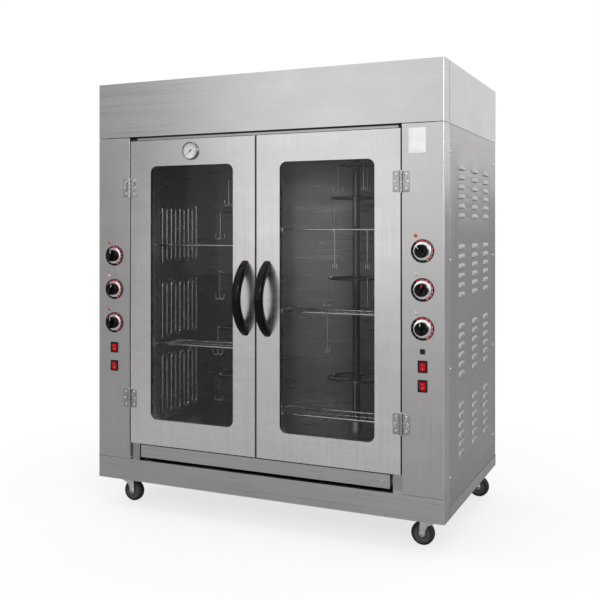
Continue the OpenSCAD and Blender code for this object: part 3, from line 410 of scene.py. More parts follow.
class Bench:
    """The modelling calls, as made by hand: edit mode and applied modifiers."""

    @staticmethod
    def take(obj: Obj | None = None) -> None:
        """Deselects every object, then selects one and makes it active."""
        bpy.ops.object.select_all(action="DESELECT")
        if obj:
            obj.select_set(True)
            bpy.context.view_layer.objects.active = obj

    @staticmethod
    def settle(obj: Obj) -> Obj:
        """Moves an object's place into its mesh."""
        Bench.take(obj)
        bpy.ops.object.transform_apply(location=True, rotation=True, scale=True)
        return obj

    @staticmethod
    @contextmanager
    def editing(obj: Obj) -> Iterator[None]:
        """Edit mode on one object, with its whole mesh selected."""
        Bench.take(obj)
        bpy.ops.object.mode_set(mode="EDIT")
        bpy.ops.mesh.select_all(action="SELECT")
        yield
        bpy.ops.object.mode_set(mode="OBJECT")

    @staticmethod
    def heal(obj: Obj) -> Obj:
        """Merges doubled points and turns the faces outwards."""
        with Bench.editing(obj):
            bpy.ops.mesh.remove_doubles(threshold=WELD)
            bpy.ops.mesh.normals_make_consistent(inside=False)
        return obj

    @staticmethod
    def modify(obj: Obj, kind: str, **settings: object) -> Obj:
        """Adds a modifier, sets it up and applies it."""
        Bench.take(obj)
        bpy.ops.object.modifier_add(type=kind)
        made = obj.modifiers[-1]
        for key, value in settings.items():
            setattr(made, key, value)
        bpy.ops.object.modifier_apply(modifier=made.name)
        return obj

    @staticmethod
    def cut(obj: Obj, tool: Obj) -> None:
        """Cuts one object out of another and deletes the tool."""
        Bench.modify(obj, "BOOLEAN", operation="DIFFERENCE", object=tool, solver="EXACT")
        bpy.data.objects.remove(tool)

    @staticmethod
    def copy(obj: Obj, move: Matrix) -> Obj:
        """A copy with its own mesh, moved in its mesh."""
        made = obj.copy()
        made.data = obj.data.copy()
        bpy.context.scene.collection.objects.link(made)
        made.data.transform(move)
        if move.determinant() < 0:
            made.data.flip_normals()
        return made

    @staticmethod
    def join(parts: Sequence[Obj]) -> Obj:
        """Joins objects into the first one, which keeps every material."""
        Bench.take(parts[0])
        for part in parts:
            part.select_set(True)
        bpy.ops.object.join()
        return parts[0]

    @staticmethod
    def curve(dimensions: str, lines: Iterable[Sequence[Point]], closed: bool, radii: Sequence[float] = ()) -> Obj:
        """A curve of straight runs.

        Args:
            dimensions: 2D for a filled outline, or 3D.
            lines: The points of each run.
            closed: Whether the runs are loops.
            radii: Shares of the bevel at a run's points.

        Returns:
            The new curve.
        """
        Bench.take()
        bpy.ops.curve.primitive_bezier_curve_add()
        obj = bpy.context.active_object
        obj.matrix_world = Matrix.Identity(4)
        obj.data.splines.clear()
        obj.data.dimensions = dimensions
        for line in lines:
            run = obj.data.splines.new("POLY")
            run.points.add(len(line) - 1)
            for i, place in enumerate(line):
                run.points[i].co = (*(Vector(place) * MM), 1.0)
                run.points[i].radius = radii[i] if radii else 1.0
            run.use_cyclic_u = closed
        return obj

    @staticmethod
    def mesh(obj: Obj, place: Matrix) -> Obj:
        """Turns a curve or text into a mesh and puts it in its place."""
        Bench.take(obj)
        bpy.ops.object.convert(target="MESH")
        made = bpy.context.active_object
        made.data.transform(place)
        return made


@dataclass
class Assembly(Bench):
    """What every sub-assembly shares: the frame, the finishes, its shapes and how a piece is handed over.

    A shape's first argument is its finish, which is empty for a cutting tool.

    Attributes:
        palette: The finishes.
    """

    frame: dict
    palette: Palette

    def joint(self, name: str) -> dict:
        """The frame's entry of a joint."""
        return next(j for j in self.frame["joints"] if j["name"] == name)

    def pivot(self, name: str) -> Vector:
        """The point that a joint turns about, in millimetres."""
        return Vector(self.joint(name)["pos_m"]) / MM

    def paint(self, obj: Obj, finish: str) -> Obj:
        """Gives an object one finish."""
        if finish:
            obj.data.materials.clear()
            obj.data.materials.append(self.palette[finish])
        return obj

    def block(self, finish: str, start: Point, end: Point, radius: float = 0.0, steps: int = 2) -> Obj:
        """A box between two opposite corners, its edges rounded."""
        Bench.take()
        a, b = Vector(start) * MM, Vector(end) * MM
        bpy.ops.mesh.primitive_cube_add(size=1, location=(a + b) / 2, scale=[abs(s) for s in b - a])
        obj = Bench.settle(bpy.context.active_object)
        if radius > 0:
            limit = {"limit_method": "ANGLE", "angle_limit": math.radians(30)}
            Bench.modify(obj, "BEVEL", width=radius * MM, segments=steps, **limit)
        return self.paint(obj, finish)

    def lathe(self, finish: str, profile: Sequence[Flat], centre: Point, axis: Axis = Axis.Y, steps: int = 48) -> Obj:
        """Spins a profile drawn point by point round an axis.

        Args:
            finish: Its finish.
            profile: Radius and place along the axis, from one pole to the other.
            centre: A point on the axis, from which the places count.
            axis: The axis.
            steps: Segments of the full turn.

        Returns:
            The new closed object.
        """
        Bench.take()
        spindle = axis.vector()
        across = (Axis.X if axis is Axis.Z else Axis.Z).vector()
        points = [(Vector(centre) + across * r + spindle * h) * MM for r, h in profile]
        bpy.ops.mesh.primitive_plane_add(size=MM, location=points[0])
        obj = Bench.settle(bpy.context.active_object)
        with Bench.editing(obj):
            bpy.ops.mesh.merge(type="CENTER")
            for before, after in zip(points, points[1:]):
                bpy.ops.mesh.extrude_region_move(TRANSFORM_OT_translate={"value": after - before})
            bpy.ops.mesh.select_all(action="SELECT")
            bpy.ops.mesh.spin(steps=steps, angle=2 * math.pi, center=Vector(centre) * MM, axis=spindle)
        return self.paint(Bench.heal(obj), finish)

    def tube(
        self, finish: str, path: Sequence[Point], radius: float, sides: int = 12, closed: bool = False,
        radii: Sequence[float] = (),
    ) -> Obj:
        """A round bar along a path, which swells and tapers by the radii's shares."""
        obj = Bench.curve("3D", [path], closed, radii)
        obj.data.bevel_depth = radius * MM
        obj.data.bevel_resolution = sides // 4 - 1
        obj.data.use_fill_caps = not closed
        return self.paint(Bench.heal(Bench.mesh(obj, Matrix.Identity(4))), finish)

    def plate(
        self, finish: str, outlines: Sequence[Sequence[Flat]], thickness: float, edge: float, at: Point,
        axis: Axis = Axis.Y, turn: float = 0.0, up: float = 0.0, steps: int = 1,
    ) -> Obj:
        """A flat sheet with holes and eased edges, made from a filled curve.

        Args:
            finish: Its finish.
            outlines: The outer outline, then the holes.
            thickness: Thickness of the sheet, from 0 along its own +Z.
            edge: Radius of its eased edges.
            at: The point where its own plane has its origin.
            axis: The axis across it, as in spot().
            turn: Its turn in its own plane, in radians.
            up: How far it moves along its own Y.
            steps: Steps of the easing beyond its first.

        Returns:
            The new object.
        """
        obj = Bench.curve("2D", [[(x, y, 0.0) for x, y in outline] for outline in outlines], True)
        obj.data.fill_mode = "BOTH"
        obj.data.extrude = (thickness / 2 - edge) * MM
        obj.data.bevel_depth = edge * MM
        obj.data.bevel_resolution = steps
        obj.data.offset = -edge * MM
        return self.paint(Bench.heal(Bench.mesh(obj, spot(at, axis, turn, up) @ shift(0, 0, thickness / 2))), finish)

    def words(
        self, finish: str, text: str, size: float, thickness: float, at: Point, turn: float = 0.0, up: float = 0.0
    ) -> Obj:
        """Raised figures that face -Y, placed like a plate."""
        Bench.take()
        bpy.ops.object.text_add()
        obj = bpy.context.active_object
        settings = {"body": text, "size": size * MM, "align_x": "CENTER", "align_y": "CENTER", "resolution_u": 2}
        for key, value in settings.items():
            setattr(obj.data, key, value)
        obj.data.extrude = thickness / 2 * MM
        return self.paint(Bench.mesh(obj, spot(at, Axis.Y, turn, up)), finish)

    def screw(self, at: Point, out: Point, radius: float, height: float) -> Obj:
        """A pan head with a cross recess, standing out from a face.

        Args:
            at: Middle of its seat.
            out: The face's outward direction, along X or Y.
            radius: The head's radius.
            height: Its height.

        Returns:
            The head.
        """
        axis = Axis.X if out[0] else Axis.Y
        dome = ((0, -0.4), (radius, -0.4), (radius, 0.35 * height), (0.93 * radius, 0.62 * height),
                (0.72 * radius, 0.88 * height), (0, height))
        made = self.lathe("bright_steel", [(r, h * out[axis.value]) for r, h in dome], at, axis, 20)
        centre = Vector(at) + Vector(out) * height
        slim, long_ = 0.13 * radius, 0.55 * radius
        for wide, tall in ((slim, long_), (long_, slim)):
            reach = Vector((wide, wide, tall))
            reach[axis.value] = 0.5 * height
            Bench.cut(made, self.block("", centre - reach, centre + reach))
        return made

    def hand_over(
        self, made: Obj | Sequence[Obj], name: str, body: str, slot: str, nodes: Iterable[str] = (),
        angle: float = 35.0,
    ) -> None:
        """Names a finished piece, lets it ride and hides the CAD nodes that it stands for.

        Args:
            made: The piece, or its parts.
            name: Its name.
            body: The body that it rides on.
            slot: Not used.
            nodes: The CAD nodes that it stands for.
            angle: Smooth shading's limit in degrees.
        """
        obj = made if isinstance(made, Obj) else Bench.join(made)
        Bench.take(obj)
        bpy.ops.object.shade_smooth_by_angle(angle=math.radians(angle))
        obj.name = name
        obj.data.name = name
        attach(obj, body)
        if list(nodes):
            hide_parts(*nodes)
        LOG.info("%s rides on %s", name, body)

    def dress(self, finishes: dict[str, Sequence[str]]) -> None:
        """Gives CAD nodes a finish in place of their own, from the nodes of each finish."""
        for finish, nodes in finishes.items():
            for node in nodes:
                obj = self.frame["nodes"][node]
                if not obj.material_slots:
                    obj.data.materials.append(self.palette[finish])
                for place in obj.material_slots:
                    place.material = self.palette[finish]
                LOG.info("%s keeps its CAD solid in %s", node, finish)


# ---------------------------------------------------------------- doors


@dataclass
class Door(Assembly):
    """One glazed door: its gasket, glass retainers and bowed handle.

    Attributes:
        side: Left or right.
        lip: How far the sheet covers the glass all round.
        corner: Radius of the window's corners.
        handle_width: Width of the handle's bar.
        handle_depth: Its thickness in the middle, seen from the side.
        handle_edge: Radius of its edges.
        grip_gap: Height of the gap behind it.
        handle_points: Points along its bow.
    """

    side: Side = Side.LEFT
    lip: float = 7.7
    corner: float = 20
    handle_width: float = 22.8
    handle_depth: float = 21.5
    handle_edge: float = 7.5
    grip_gap: float = 142
    handle_points: int = 41

    def build(self) -> None:
        """Builds the door's pieces."""
        side = self.side.value
        self.body = f"{side}_door"
        self.dress({"door_steel": [f"door_{side}_frame"], "window_glass": [f"door_{side}_glass"]})
        low, high = box(f"door_{side}_glass")
        lip = Vector((self.lip, 0, self.lip))
        self.make_gasket(low + lip, high - lip)
        self.make_retainers(low + lip, high - lip)
        self.make_handle()
        if self.side is Side.LEFT:
            self.make_meeting_seal()

    def make_gasket(self, low: Vector, high: Vector) -> None:
        """The thin black bead that seals the glass behind the front sheet, round the window's clear opening."""
        middle = (low + high) / 2
        outline = round_box(high.x - low.x, high.z - low.z, self.corner, 10)
        path = [(middle.x + x, low.y - 0.1, middle.z + z) for x, z in outline]
        bead = self.tube("black_satin", path, 1.0, closed=True)
        self.hand_over(bead, f"window_gasket_{self.side.value}", self.body, "black_satin")

    def make_retainers(self, low: Vector, high: Vector) -> None:
        """Folded strips behind the glass, round the window's clear opening, held by small screws."""
        back, wide = high.y + 3.2, 14
        front = back + 1.2
        strips = []
        for way, x, z in ((-1, low.x, low.z), (1, high.x, high.z)):
            ends = ((x + way * 0.8, back, low.z - wide), (x + way * wide, front, high.z + wide))
            strips.append(self.block("bright_steel", *ends, 0.4))
            ends = ((low.x + 0.4, back, z + way * 0.8), (high.x - 0.4, front, z + way * wide))
            strips.append(self.block("bright_steel", *ends, 0.4))
        dome = [(0, 0), (3.2, 0), (3.0, 1.0), (1.6, 1.7), (0, 1.9)]
        for x in (low.x - 7.5, high.x + 7.5):
            for i in range(6):
                z = low.z + (high.z - low.z) * (i + 0.5) / 6
                strips.append(self.lathe("bright_steel", dome, (x, front, z), steps=16))
        self.hand_over(strips, f"glass_retainer_{self.side.value}", self.body, "bright")

    def make_meeting_seal(self) -> None:
        """The thin black lip on the left door's edge that covers the gap between the doors."""
        low, high = box("door_left_frame")
        lap = 1.5
        wide = box("door_right_frame")[0].x - high.x + lap - 0.4
        at = (high.x - lap + wide / 2, low.y + 3, (low.z + high.z) / 2)
        strip = self.plate("seam_dark", [round_box(wide, high.z - low.z - 4, 0.2, 2)], 3.4, 0.15, at)
        self.hand_over(strip, "meeting_seal", self.body, "black_satin")

    def make_handle(self) -> None:
        """The crescent handle: two arcs seen from the side, solid at its two feet, with soft edges."""
        node = f"door_{self.side.value}_handle"
        low, high = box(node)
        middle = (low + high) / 2
        reach, wide = high.y - low.y, self.handle_width
        outline = self.arc((high.z - low.z) / 2, reach) + self.arc(self.grip_gap / 2, reach - self.handle_depth)[::-1]
        at = (middle.x - wide / 2, high.y, middle.z)
        bar = self.plate("black_gloss", [outline], wide, self.handle_edge, at, Axis.X, steps=5)
        with Bench.editing(bar):
            seat = (0, (high.y - 0.1) * MM, 0)
            bpy.ops.mesh.bisect(plane_co=seat, plane_no=(0, 1, 0), use_fill=True, clear_outer=True)
        self.hand_over(bar, f"bow_handle_{self.side.value}", self.body, "black_gloss", [node], 50)

    def arc(self, half: float, reach: float, sunk: float = 8) -> list[Flat]:
        """A round arc that bows out of the door.

        Args:
            half: Half its height where it meets the door.
            reach: How far it stands out.
            sunk: How far its ends run on behind the door's face.

        Returns:
            Its points from the lower end, as depth behind the face and height.
        """
        radius = (half**2 + reach**2) / (2 * reach)
        end = math.acos(1 - (reach + sunk) / radius)
        steps = self.handle_points - 1
        turns = [-end + 2 * end * i / steps for i in range(steps + 1)]
        return [(radius - reach - radius * math.cos(a), radius * math.sin(a)) for a in turns]


@dataclass
class Hinges(Assembly):
    """The four butt hinges: screwed leaves with round corners, knuckles and pins.

    Attributes:
        leaf: Thickness of a leaf.
        corner: Radius of its corners.
        knuckle: Radius of the knuckle.
        width: Width of one leaf from the pin.
        height: Height of the hinge.
        play: Gap between the pin's line and a leaf.
        screws: Where a leaf's screws sit from its middle.
    """

    leaf: float = 2
    corner: float = 4
    knuckle: float = 4.5
    width: float = 22.5
    height: float = 55
    play: float = 0.6
    screws: Sequence[Flat] = ((2, -18), (5.5, 0), (2, 18))

    def build(self) -> None:
        """Builds the fixed leaves and the doors' leaves."""
        fixed = []
        for side in Side:
            moving = []
            node = f"door_{side.value}_hinge_leaves"
            low, high = box(node)
            pin = self.pivot(f"{side.value}_door_swing")
            half = (self.height - 1) / 2
            for z in (low.z + half, high.z - half):
                at = Vector((pin.x, pin.y, z))
                fixed += [self.make_leaf(at, side.sign, (0, 2, 4)), self.make_pin(at)]
                moving.append(self.make_leaf(at, -side.sign, (1, 3)))
            self.hand_over(moving, f"door_hinge_leaves_{side.value}", f"{side.value}_door", "bright", [node])
        self.hand_over(fixed, "column_hinge_leaves", "cabinet", "bright", ["hinge_leaves_fixed"])

    def make_leaf(self, at: Vector, way: int, knuckles: Sequence[int]) -> Obj:
        """One leaf with its knuckles and three screws.

        Args:
            at: The hinge's middle on the pin's line.
            way: -1 for a leaf that lies towards -X.
            knuckles: Which of the five sections it carries.

        Returns:
            The leaf.
        """
        x, y, z = at
        r, half, face = self.knuckle, (self.width + self.play) / 2, y + self.knuckle + 0.2
        holes = [[(px + way * sx, pz + sz) for px, pz in ring(1.9, 16)] for sx, sz in self.screws]
        outline = round_box(self.width - self.play, self.height - 1, self.corner)
        plate = self.plate("hinge_steel", [outline, *holes], self.leaf, 0.35, (x + way * half, face, z))
        parts = [plate]
        section = self.height / 5
        for i in range(5):
            foot = z - self.height / 2 + i * section
            if i not in knuckles:
                Bench.cut(plate, self.block("", (x - 5.2, y - 8, foot), (x + 5.2, y + 8, foot + section)))
                continue
            low, top = foot + 0.2, foot + section - 0.2
            sleeve = [(2.3, low), (r - 0.4, low), (r, low + 0.4), (r, top - 0.4), (r - 0.4, top), (2.3, top),
                      (2.3, low)]
            parts.append(self.lathe("hinge_steel", sleeve, (x, y, 0), Axis.Z, 28))
        for sx, sz in self.screws:
            parts.append(self.screw((x + way * (half + sx), face - self.leaf + 0.3, z + sz), (0, -1, 0), 3.4, 1.1))
        return Bench.join(parts)

    def make_pin(self, at: Vector) -> Obj:
        """The pin with its two round heads."""
        half = self.height / 2
        head = [(0, 2.2), (1.8, 1.9), (3.6, 0.8), (3.6, 0.1), (2.1, 0.1)]
        profile = [(r, -half - h) for r, h in head] + [(r, half + h) for r, h in reversed(head)]
        return self.lathe("zinc_plate", profile, at, Axis.Z, 24)


@dataclass
class Screws(Assembly):
    """The pan-head screws of the panels, and the small ones of the drawer front.

    Attributes:
        size: Radius and height of a panel screw's head.
    """

    size: Flat = (4, 2.1)

    def build(self) -> None:
        """Builds the screws where the CAD solids are."""
        panel_low, panel_high = box("side_panel_right")
        depths = [panel_low.y + 6, panel_high.y - 6]
        heights = [panel_low.z + 30 + i * (panel_high.z - panel_low.z - 60) / 3 for i in range(4)]
        side_x, rear_y = box("screws")[1].x - 2, box("rear_panel")[1].y
        right = self.screw((side_x, depths[0], heights[0]), (1, 0, 0), *self.size)
        rear = self.screw((side_x - 18, rear_y, heights[0]), (0, 1, 0), *self.size)
        heads = []
        for z in heights:
            rise = z - heights[0]
            for y in depths:
                move = shift(0, y - depths[0], rise)
                heads += [Bench.copy(right, move), Bench.copy(right, MIRROR @ move)]
            heads += [Bench.copy(rear, MIRROR @ shift(0, 0, rise)), Bench.copy(rear, shift(0, 0, rise))]
        for extra in (right, rear):
            bpy.data.objects.remove(extra)
        self.hand_over(heads, "panel_screws", "cabinet", "bright", ["screws"])
        low, high = box("drawer_front")
        middle = (low.z + high.z) / 2
        small = [self.screw((x, low.y, middle), (0, -1, 0), 2.6, 1.0) for x in (low.x + 22, high.x - 22)]
        self.hand_over(small, "drawer_front_screws", "drawer", "bright")


# ---------------------------------------------------------------- control columns


class Lamp(Enum):
    """How a column's lamps look unlit."""

    RED = "lamp_red"
    PALE = "lamp_pale"


@dataclass
class DialPlace:
    """One dial with its lamp.

    Attributes:
        side: Its column.
        name: Top, middle or bottom.
        lamp: Its lamp's colour.
        tip_red: Whether the grip's pointer is red.
    """

    side: Side
    name: str
    lamp: Lamp
    tip_red: bool = False


@dataclass
class Controls(Assembly):
    """Both columns' dials, grips, lamps, rocker switches and the buzzer.

    Attributes:
        dial_radius: Radius of the scale ring.
        dial_depth: Its thickness.
        scale_inner: Radius inside the coloured scale.
        grip_radius: Radius of the grip's body.
        figures: The scale's plain figures.
        figure_span: Angles of the first and last one, clockwise from the top.
        buzzer_z: Height of the buzzer's middle.
        dials: The six dials.
    """

    dial_radius: float = 30
    dial_depth: float = 4
    scale_inner: float = 23.8
    grip_radius: float = 17.6
    figures: Sequence[str] = ("50", "100", "150", "200", "250", "300")
    figure_span: Flat = (28.0, 148.0)
    buzzer_z: float = 513
    dials: Sequence[DialPlace] = (
        DialPlace(Side.LEFT, "top", Lamp.RED),
        DialPlace(Side.LEFT, "middle", Lamp.PALE),
        DialPlace(Side.LEFT, "bottom", Lamp.RED),
        DialPlace(Side.RIGHT, "top", Lamp.RED),
        DialPlace(Side.RIGHT, "middle", Lamp.PALE, True),
        DialPlace(Side.RIGHT, "bottom", Lamp.PALE),
    )

    def build(self) -> None:
        """Builds every piece on the columns."""
        faces, lamps = [], []
        master = self.make_face()
        for dial in self.dials:
            joint = f"{dial.side.value}_{dial.name}_knob_turn"
            at = self.pivot(joint)
            faces.append(Bench.copy(master, shift(*at)))
            lamps.append(self.make_lamp(dial, at))
            self.make_grip(dial, at, math.radians(-45 - self.joint(joint)["range_deg"][0]))
        bpy.data.objects.remove(master)
        self.hand_over(faces, "dial_scales", "cabinet", "black_satin", ["dial_rings"])
        self.hand_over(lamps, "lamp_domes", "cabinet", "red_gloss", ["indicator_lamps"], 50)
        self.make_switches()

    def make_face(self) -> Obj:
        """A scale ring about the origin, facing -Y: black rim, red arc, figures and silver ring."""
        back, front = -0.2, -0.2 - self.dial_depth
        r, inner, origin = self.dial_radius, self.scale_inner, (0, 0, 0)
        rim = [(5.5, back), (r, back), (r, front + 1.6), (r - 0.7, front + 0.2), (r - 1.3, front),
               (r - 2.0, front + 0.45), (inner + 0.3, front + 0.75), (inner, front + 0.5),
               (inner - 0.4, front + 1.0), (5.5, front + 1.0), (5.5, back)]
        silver = [(8, front + 1.1), (inner - 0.5, front + 1.1), (inner - 0.5, front + 0.75),
                  (inner - 1.0, front + 0.5), (8, front + 0.5), (8, front + 1.1)]
        parts = [
            self.lathe("black_gloss", rim, origin, steps=72),
            self.lathe("silver_face", silver, origin, steps=72),
        ]
        face = (0, front + 0.75, 0)
        for start, end in ((4, 158), (-34, -5)):
            arc = sector(inner + 0.7, r - 1.9, start, end, 40)
            parts.append(self.plate("scale_red", [arc], 0.4, 0.06, face))
        first, last = self.figure_span
        middle = (inner + r) / 2 - 0.6
        for i, figure in enumerate(self.figures):
            turn = -math.radians(first + (last - first) * i / (len(self.figures) - 1))
            parts.append(self.words("print_white", figure, 4.6, 0.16, (0, face[1] - 0.4, 0), turn, middle))
        for angle in (0, *range(195, 326, 26)):
            wide, long_ = (0.45, 2.6) if angle else (0.9, 5.4)
            mark = round_box(wide, long_, 0.2, 2)
            parts.append(self.plate("print_white", [mark], 0.45, 0.05, face, turn=math.radians(-angle), up=middle))
        tip = [(0, 1.7), (-1.3, -1.0), (1.3, -1.0)]
        parts.append(self.plate("print_black", [tip], 0.3, 0.05, (0, front + 0.55, inner - 2.6)))
        return Bench.join(parts)

    def make_grip(self, dial: DialPlace, at: Vector, turn: float) -> None:
        """A grip: a dished body, a waisted finger bar and a line along the bar, on a spindle; the line is the red
        pointer mark where the grip has one, and elsewhere a painted highlight in white.

        Args:
            dial: The dial.
            at: Its middle.
            turn: Its turn at rest, clockwise from the top.
        """
        name = f"{dial.side.value}_{dial.name}"
        back, r = -0.2 - self.dial_depth - 0.3, self.grip_radius
        body = [(0, 15.5), (2.9, 15.5), (2.9, 0), (r - 0.8, 0), (r, -0.8), (r - 0.2, -6), (r - 0.6, -11.8),
                (r - 1.3, -13.4), (r - 2.8, -14), (r - 5.5, -13.2), (0, -12.4)]
        waist = [(x * (4.0 + 1.2 * z * z), z * (r - 1.4)) for x, z in ring(1, 40)]
        bar = self.plate("black_gloss", [waist], 12, 1.6, (0, back - 7.8, 0))
        for vertex in bar.data.vertices:
            if vertex.co.y < (back - 15) * MM:
                vertex.co.x *= 0.74
                vertex.co.z *= 0.94
        # The red line is the grip's own pointer mark; the white line on the other grips is a painted highlight along
        # the bar.
        wide, long_, pointer_mark_and_painted_highlight_ink = (3.4, 9.0, "scale_red") if dial.tip_red else (1.3, 8.0, "print_white")
        line = round_box(wide, long_, 0.5, 3)
        grip = Bench.join([
            self.lathe("black_gloss", body, (0, back, 0)),
            bar,
            self.plate(pointer_mark_and_painted_highlight_ink, [line], 0.5, 0.1, (0, back - 19.55, r - 6.4)),
        ])
        grip.data.transform(shift(*at) @ Matrix.Rotation(turn, 4, "Y"))
        self.hand_over(grip, f"dial_grip_{name}", f"{name}_knob", "black_gloss", [f"knob_{name}"], 40)

    def make_lamp(self, dial: DialPlace, at: Vector) -> Obj:
        """A lamp's dome in its thin bright collar."""
        centre = (at.x - 18, at.y, at.z + 39)
        back = box("indicator_lamps")[1].y - at.y
        dome = [(0, back), (3.7, back), (3.7, -0.1), (4.5, -0.1), (4.4, -1.4), (3.7, -2.7), (2.4, -3.6), (0, -4.0)]
        collar = [(4.45, -0.1), (5.0, -0.1), (5.0, -0.8), (4.75, -1.2), (4.45, -1.1), (4.45, -0.1)]
        return Bench.join([
            self.lathe(dial.lamp.value, dome, centre, steps=32), self.lathe("bright_steel", collar, centre, steps=32)
        ])

    def make_switches(self) -> None:
        """The bezels with their bodies, the rockers and the square buzzer."""
        front = box("column_right")[0].y
        housings = []
        for side in Side:
            for level in ("upper", "lower"):
                pivot = self.pivot(f"{side.value}_{level}_rocker_tip")
                housings.append(self.make_bezel(pivot, front))
                self.make_rocker(f"{side.value}_{level}", pivot)
        x, z, half = pivot.x, self.buzzer_z, 4.2
        grille = [(2.0, -1.9), (3.9, -1.9), (3.9, -2.3), (3.4, -2.5), (2.4, -2.5), (2.0, -2.2), (2.0, -1.9)]
        housings += [
            self.plate("black_satin", [round_box(13, 13, 1.2, 4)], 2, 0.5, (x, front, z)),
            self.lathe("black_satin", grille, (x, front, z), steps=24),
            self.block("black_satin", (x - half, front, z - half), (x + half, front + 11, z + half), 0.5),
        ]
        self.hand_over(housings, "switch_bezels", "cabinet", "black_satin", ["switch_housings"])

    def make_bezel(self, pivot: Vector, front: float) -> Obj:
        """One switch's rounded bezel and the body behind the sheet."""
        x, z = pivot.x, pivot.z
        bezel = [round_box(25, 31, 1.6, 4), round_box(17.2, 24.2, 0.8, 3)]
        sleeve = [round_box(21.4, 27.4, 1.0, 3), round_box(17.0, 24.0, 0.6, 3)]
        low, high = (x - 10.7, front + 7.4, z - 13.7), (x + 10.7, front + 24.8, z + 13.7)
        return Bench.join([
            self.plate("black_satin", bezel, 2.5, 0.55, (x, front, z)),
            self.plate("black_satin", sleeve, 8, 0.3, (x, front + 7.6, z)),
            self.block("black_satin", low, high, 0.8),
        ])

    def make_rocker(self, name: str, pivot: Vector) -> None:
        """A red rocker with its two hollow flanks and its I and O marks, tilted about its pivot."""
        half, wide = 11, 16.2
        front = []
        for t in [-1 + i / 10 for i in range(21)]:
            dip = 1.1 * (1 - abs(t)) ** 2 + 0.5 * abs(t) ** 3
            front.append((dip - 3.85, t * half))
        outline = [(3.4, half * 0.72), (3.4, -half * 0.72)] + front
        face, rise = -3.23, half * 0.56
        rocker = Bench.join([
            self.plate("switch_red", [outline], wide, 0.5, (-wide / 2, 0, 0), Axis.X),
            self.plate("print_white", [round_box(0.8, 3.6, 0.2, 2)], 0.3, 0.05, (0, face, rise)),
            self.plate("print_white", [ring(2.0, 24), ring(1.35, 24)], 0.3, 0.05, (0, face, -rise)),
        ])
        rocker.data.transform(shift(*pivot) @ Matrix.Rotation(math.radians(7), 4, "X"))
        self.hand_over(rocker, f"rocker_paddle_{name}", f"{name}_rocker", "red_gloss", [f"rocker_{name}"], 30)


# ---------------------------------------------------------------- thermometer


@dataclass
class Thermometer(Assembly):
    """The dial thermometer in the left door.

    Attributes:
        radius: Radius of its bezel.
        face_radius: Radius of the white dial.
        sweep: Angles of the scale's ends, clockwise from the top.
    """

    radius: float = 25.5
    face_radius: float = 22.2
    sweep: Flat = (-135.0, 135.0)

    def build(self) -> None:
        """Builds the case with its dial and window, and the pointer."""
        at = self.pivot("thermometer_pointer_turn")
        self.make_case(at)
        self.make_pointer(at)

    def make_case(self, at: Vector) -> None:
        """The polished case, its stem, the printed dial and the domed window."""
        r, inner = self.radius, self.face_radius
        back = box("thermometer_case")[1].y - at.y
        case = [(0, back), (4.2, back - 0.8), (4.9, back - 3), (4.9, -0.05), (r - 0.5, -0.05), (r, -0.6), (r, -5.2),
                (r - 0.5, -7.6), (r - 1.5, -8.8), (r - 2.3, -8.9), (inner + 0.1, -8.0), (inner, -7.0), (inner, -3.6),
                (1.7, -3.6), (1.7, -1.2), (0, -1.2)]
        dial = [(1.75, -3.5), (inner - 0.2, -3.5), (inner - 0.2, -4.1), (1.75, -4.1), (1.75, -3.5)]
        parts = [self.lathe("gauge_steel", case, at, steps=64), self.lathe("label_white", dial, at, steps=56)]
        first, last = self.sweep
        face = (at.x, at.y - 4.05, at.z)
        for i in range(31):
            turn = -math.radians(first + (last - first) * i / 30)
            wide, long_ = (0.3, 1.8) if i % 5 else (0.55, 3.2)
            tick, up = round_box(wide, long_, 0.1, 1), inner - 1.6 - long_ / 2
            parts.append(self.plate("print_black", [tick], 0.2, 0.03, face, turn=turn, up=up))
        reach = inner - 8.0
        for i in range(7):
            angle = math.radians(first + (last - first) * i / 6)
            place = (at.x + reach * math.sin(angle), face[1] - 0.05, at.z + reach * math.cos(angle))
            parts.append(self.words("print_black", str(i * 50), 4.2, 0.14, place))
        arc = sector(inner - 1.35, inner - 0.7, 60, 135, 24)
        parts.append(self.plate("scale_red", [arc], 0.2, 0.03, face))
        pane = [(0, -7.0), (inner - 0.05, -6.9), (inner - 0.05, -7.5), (inner * 0.6, -8.1), (0, -8.3)]
        parts.append(self.lathe("gauge_glass", pane, at))
        self.hand_over(parts, "thermometer_body", "left_door", "bright", ["thermometer_case"])

    def make_pointer(self, at: Vector) -> None:
        """The pointer: a long slim blade, a broad tail and a round cap."""
        blade = [(-0.9, 0), (-0.25, 18), (0.25, 18), (0.9, 0), (1.7, -6.5), (-1.7, -6.5)]
        cap = [(0, -1.6), (1.4, -1.6), (1.4, -5.0), (2.4, -5.0), (2.4, -6.1), (1.8, -6.5), (0, -6.5)]
        pointer = Bench.join([
            self.plate("scale_red", [blade], 0.5, 0.1, (0, -5.4, 0)),
            self.lathe("print_black", cap, (0, 0, 0), steps=24),
        ])
        pointer.data.transform(shift(*at) @ Matrix.Rotation(math.radians(-127), 4, "Y"))
        self.hand_over(pointer, "thermometer_hand", "thermometer_pointer", "black_satin", ["thermometer_needle"], 40)


# ---------------------------------------------------------------- shell


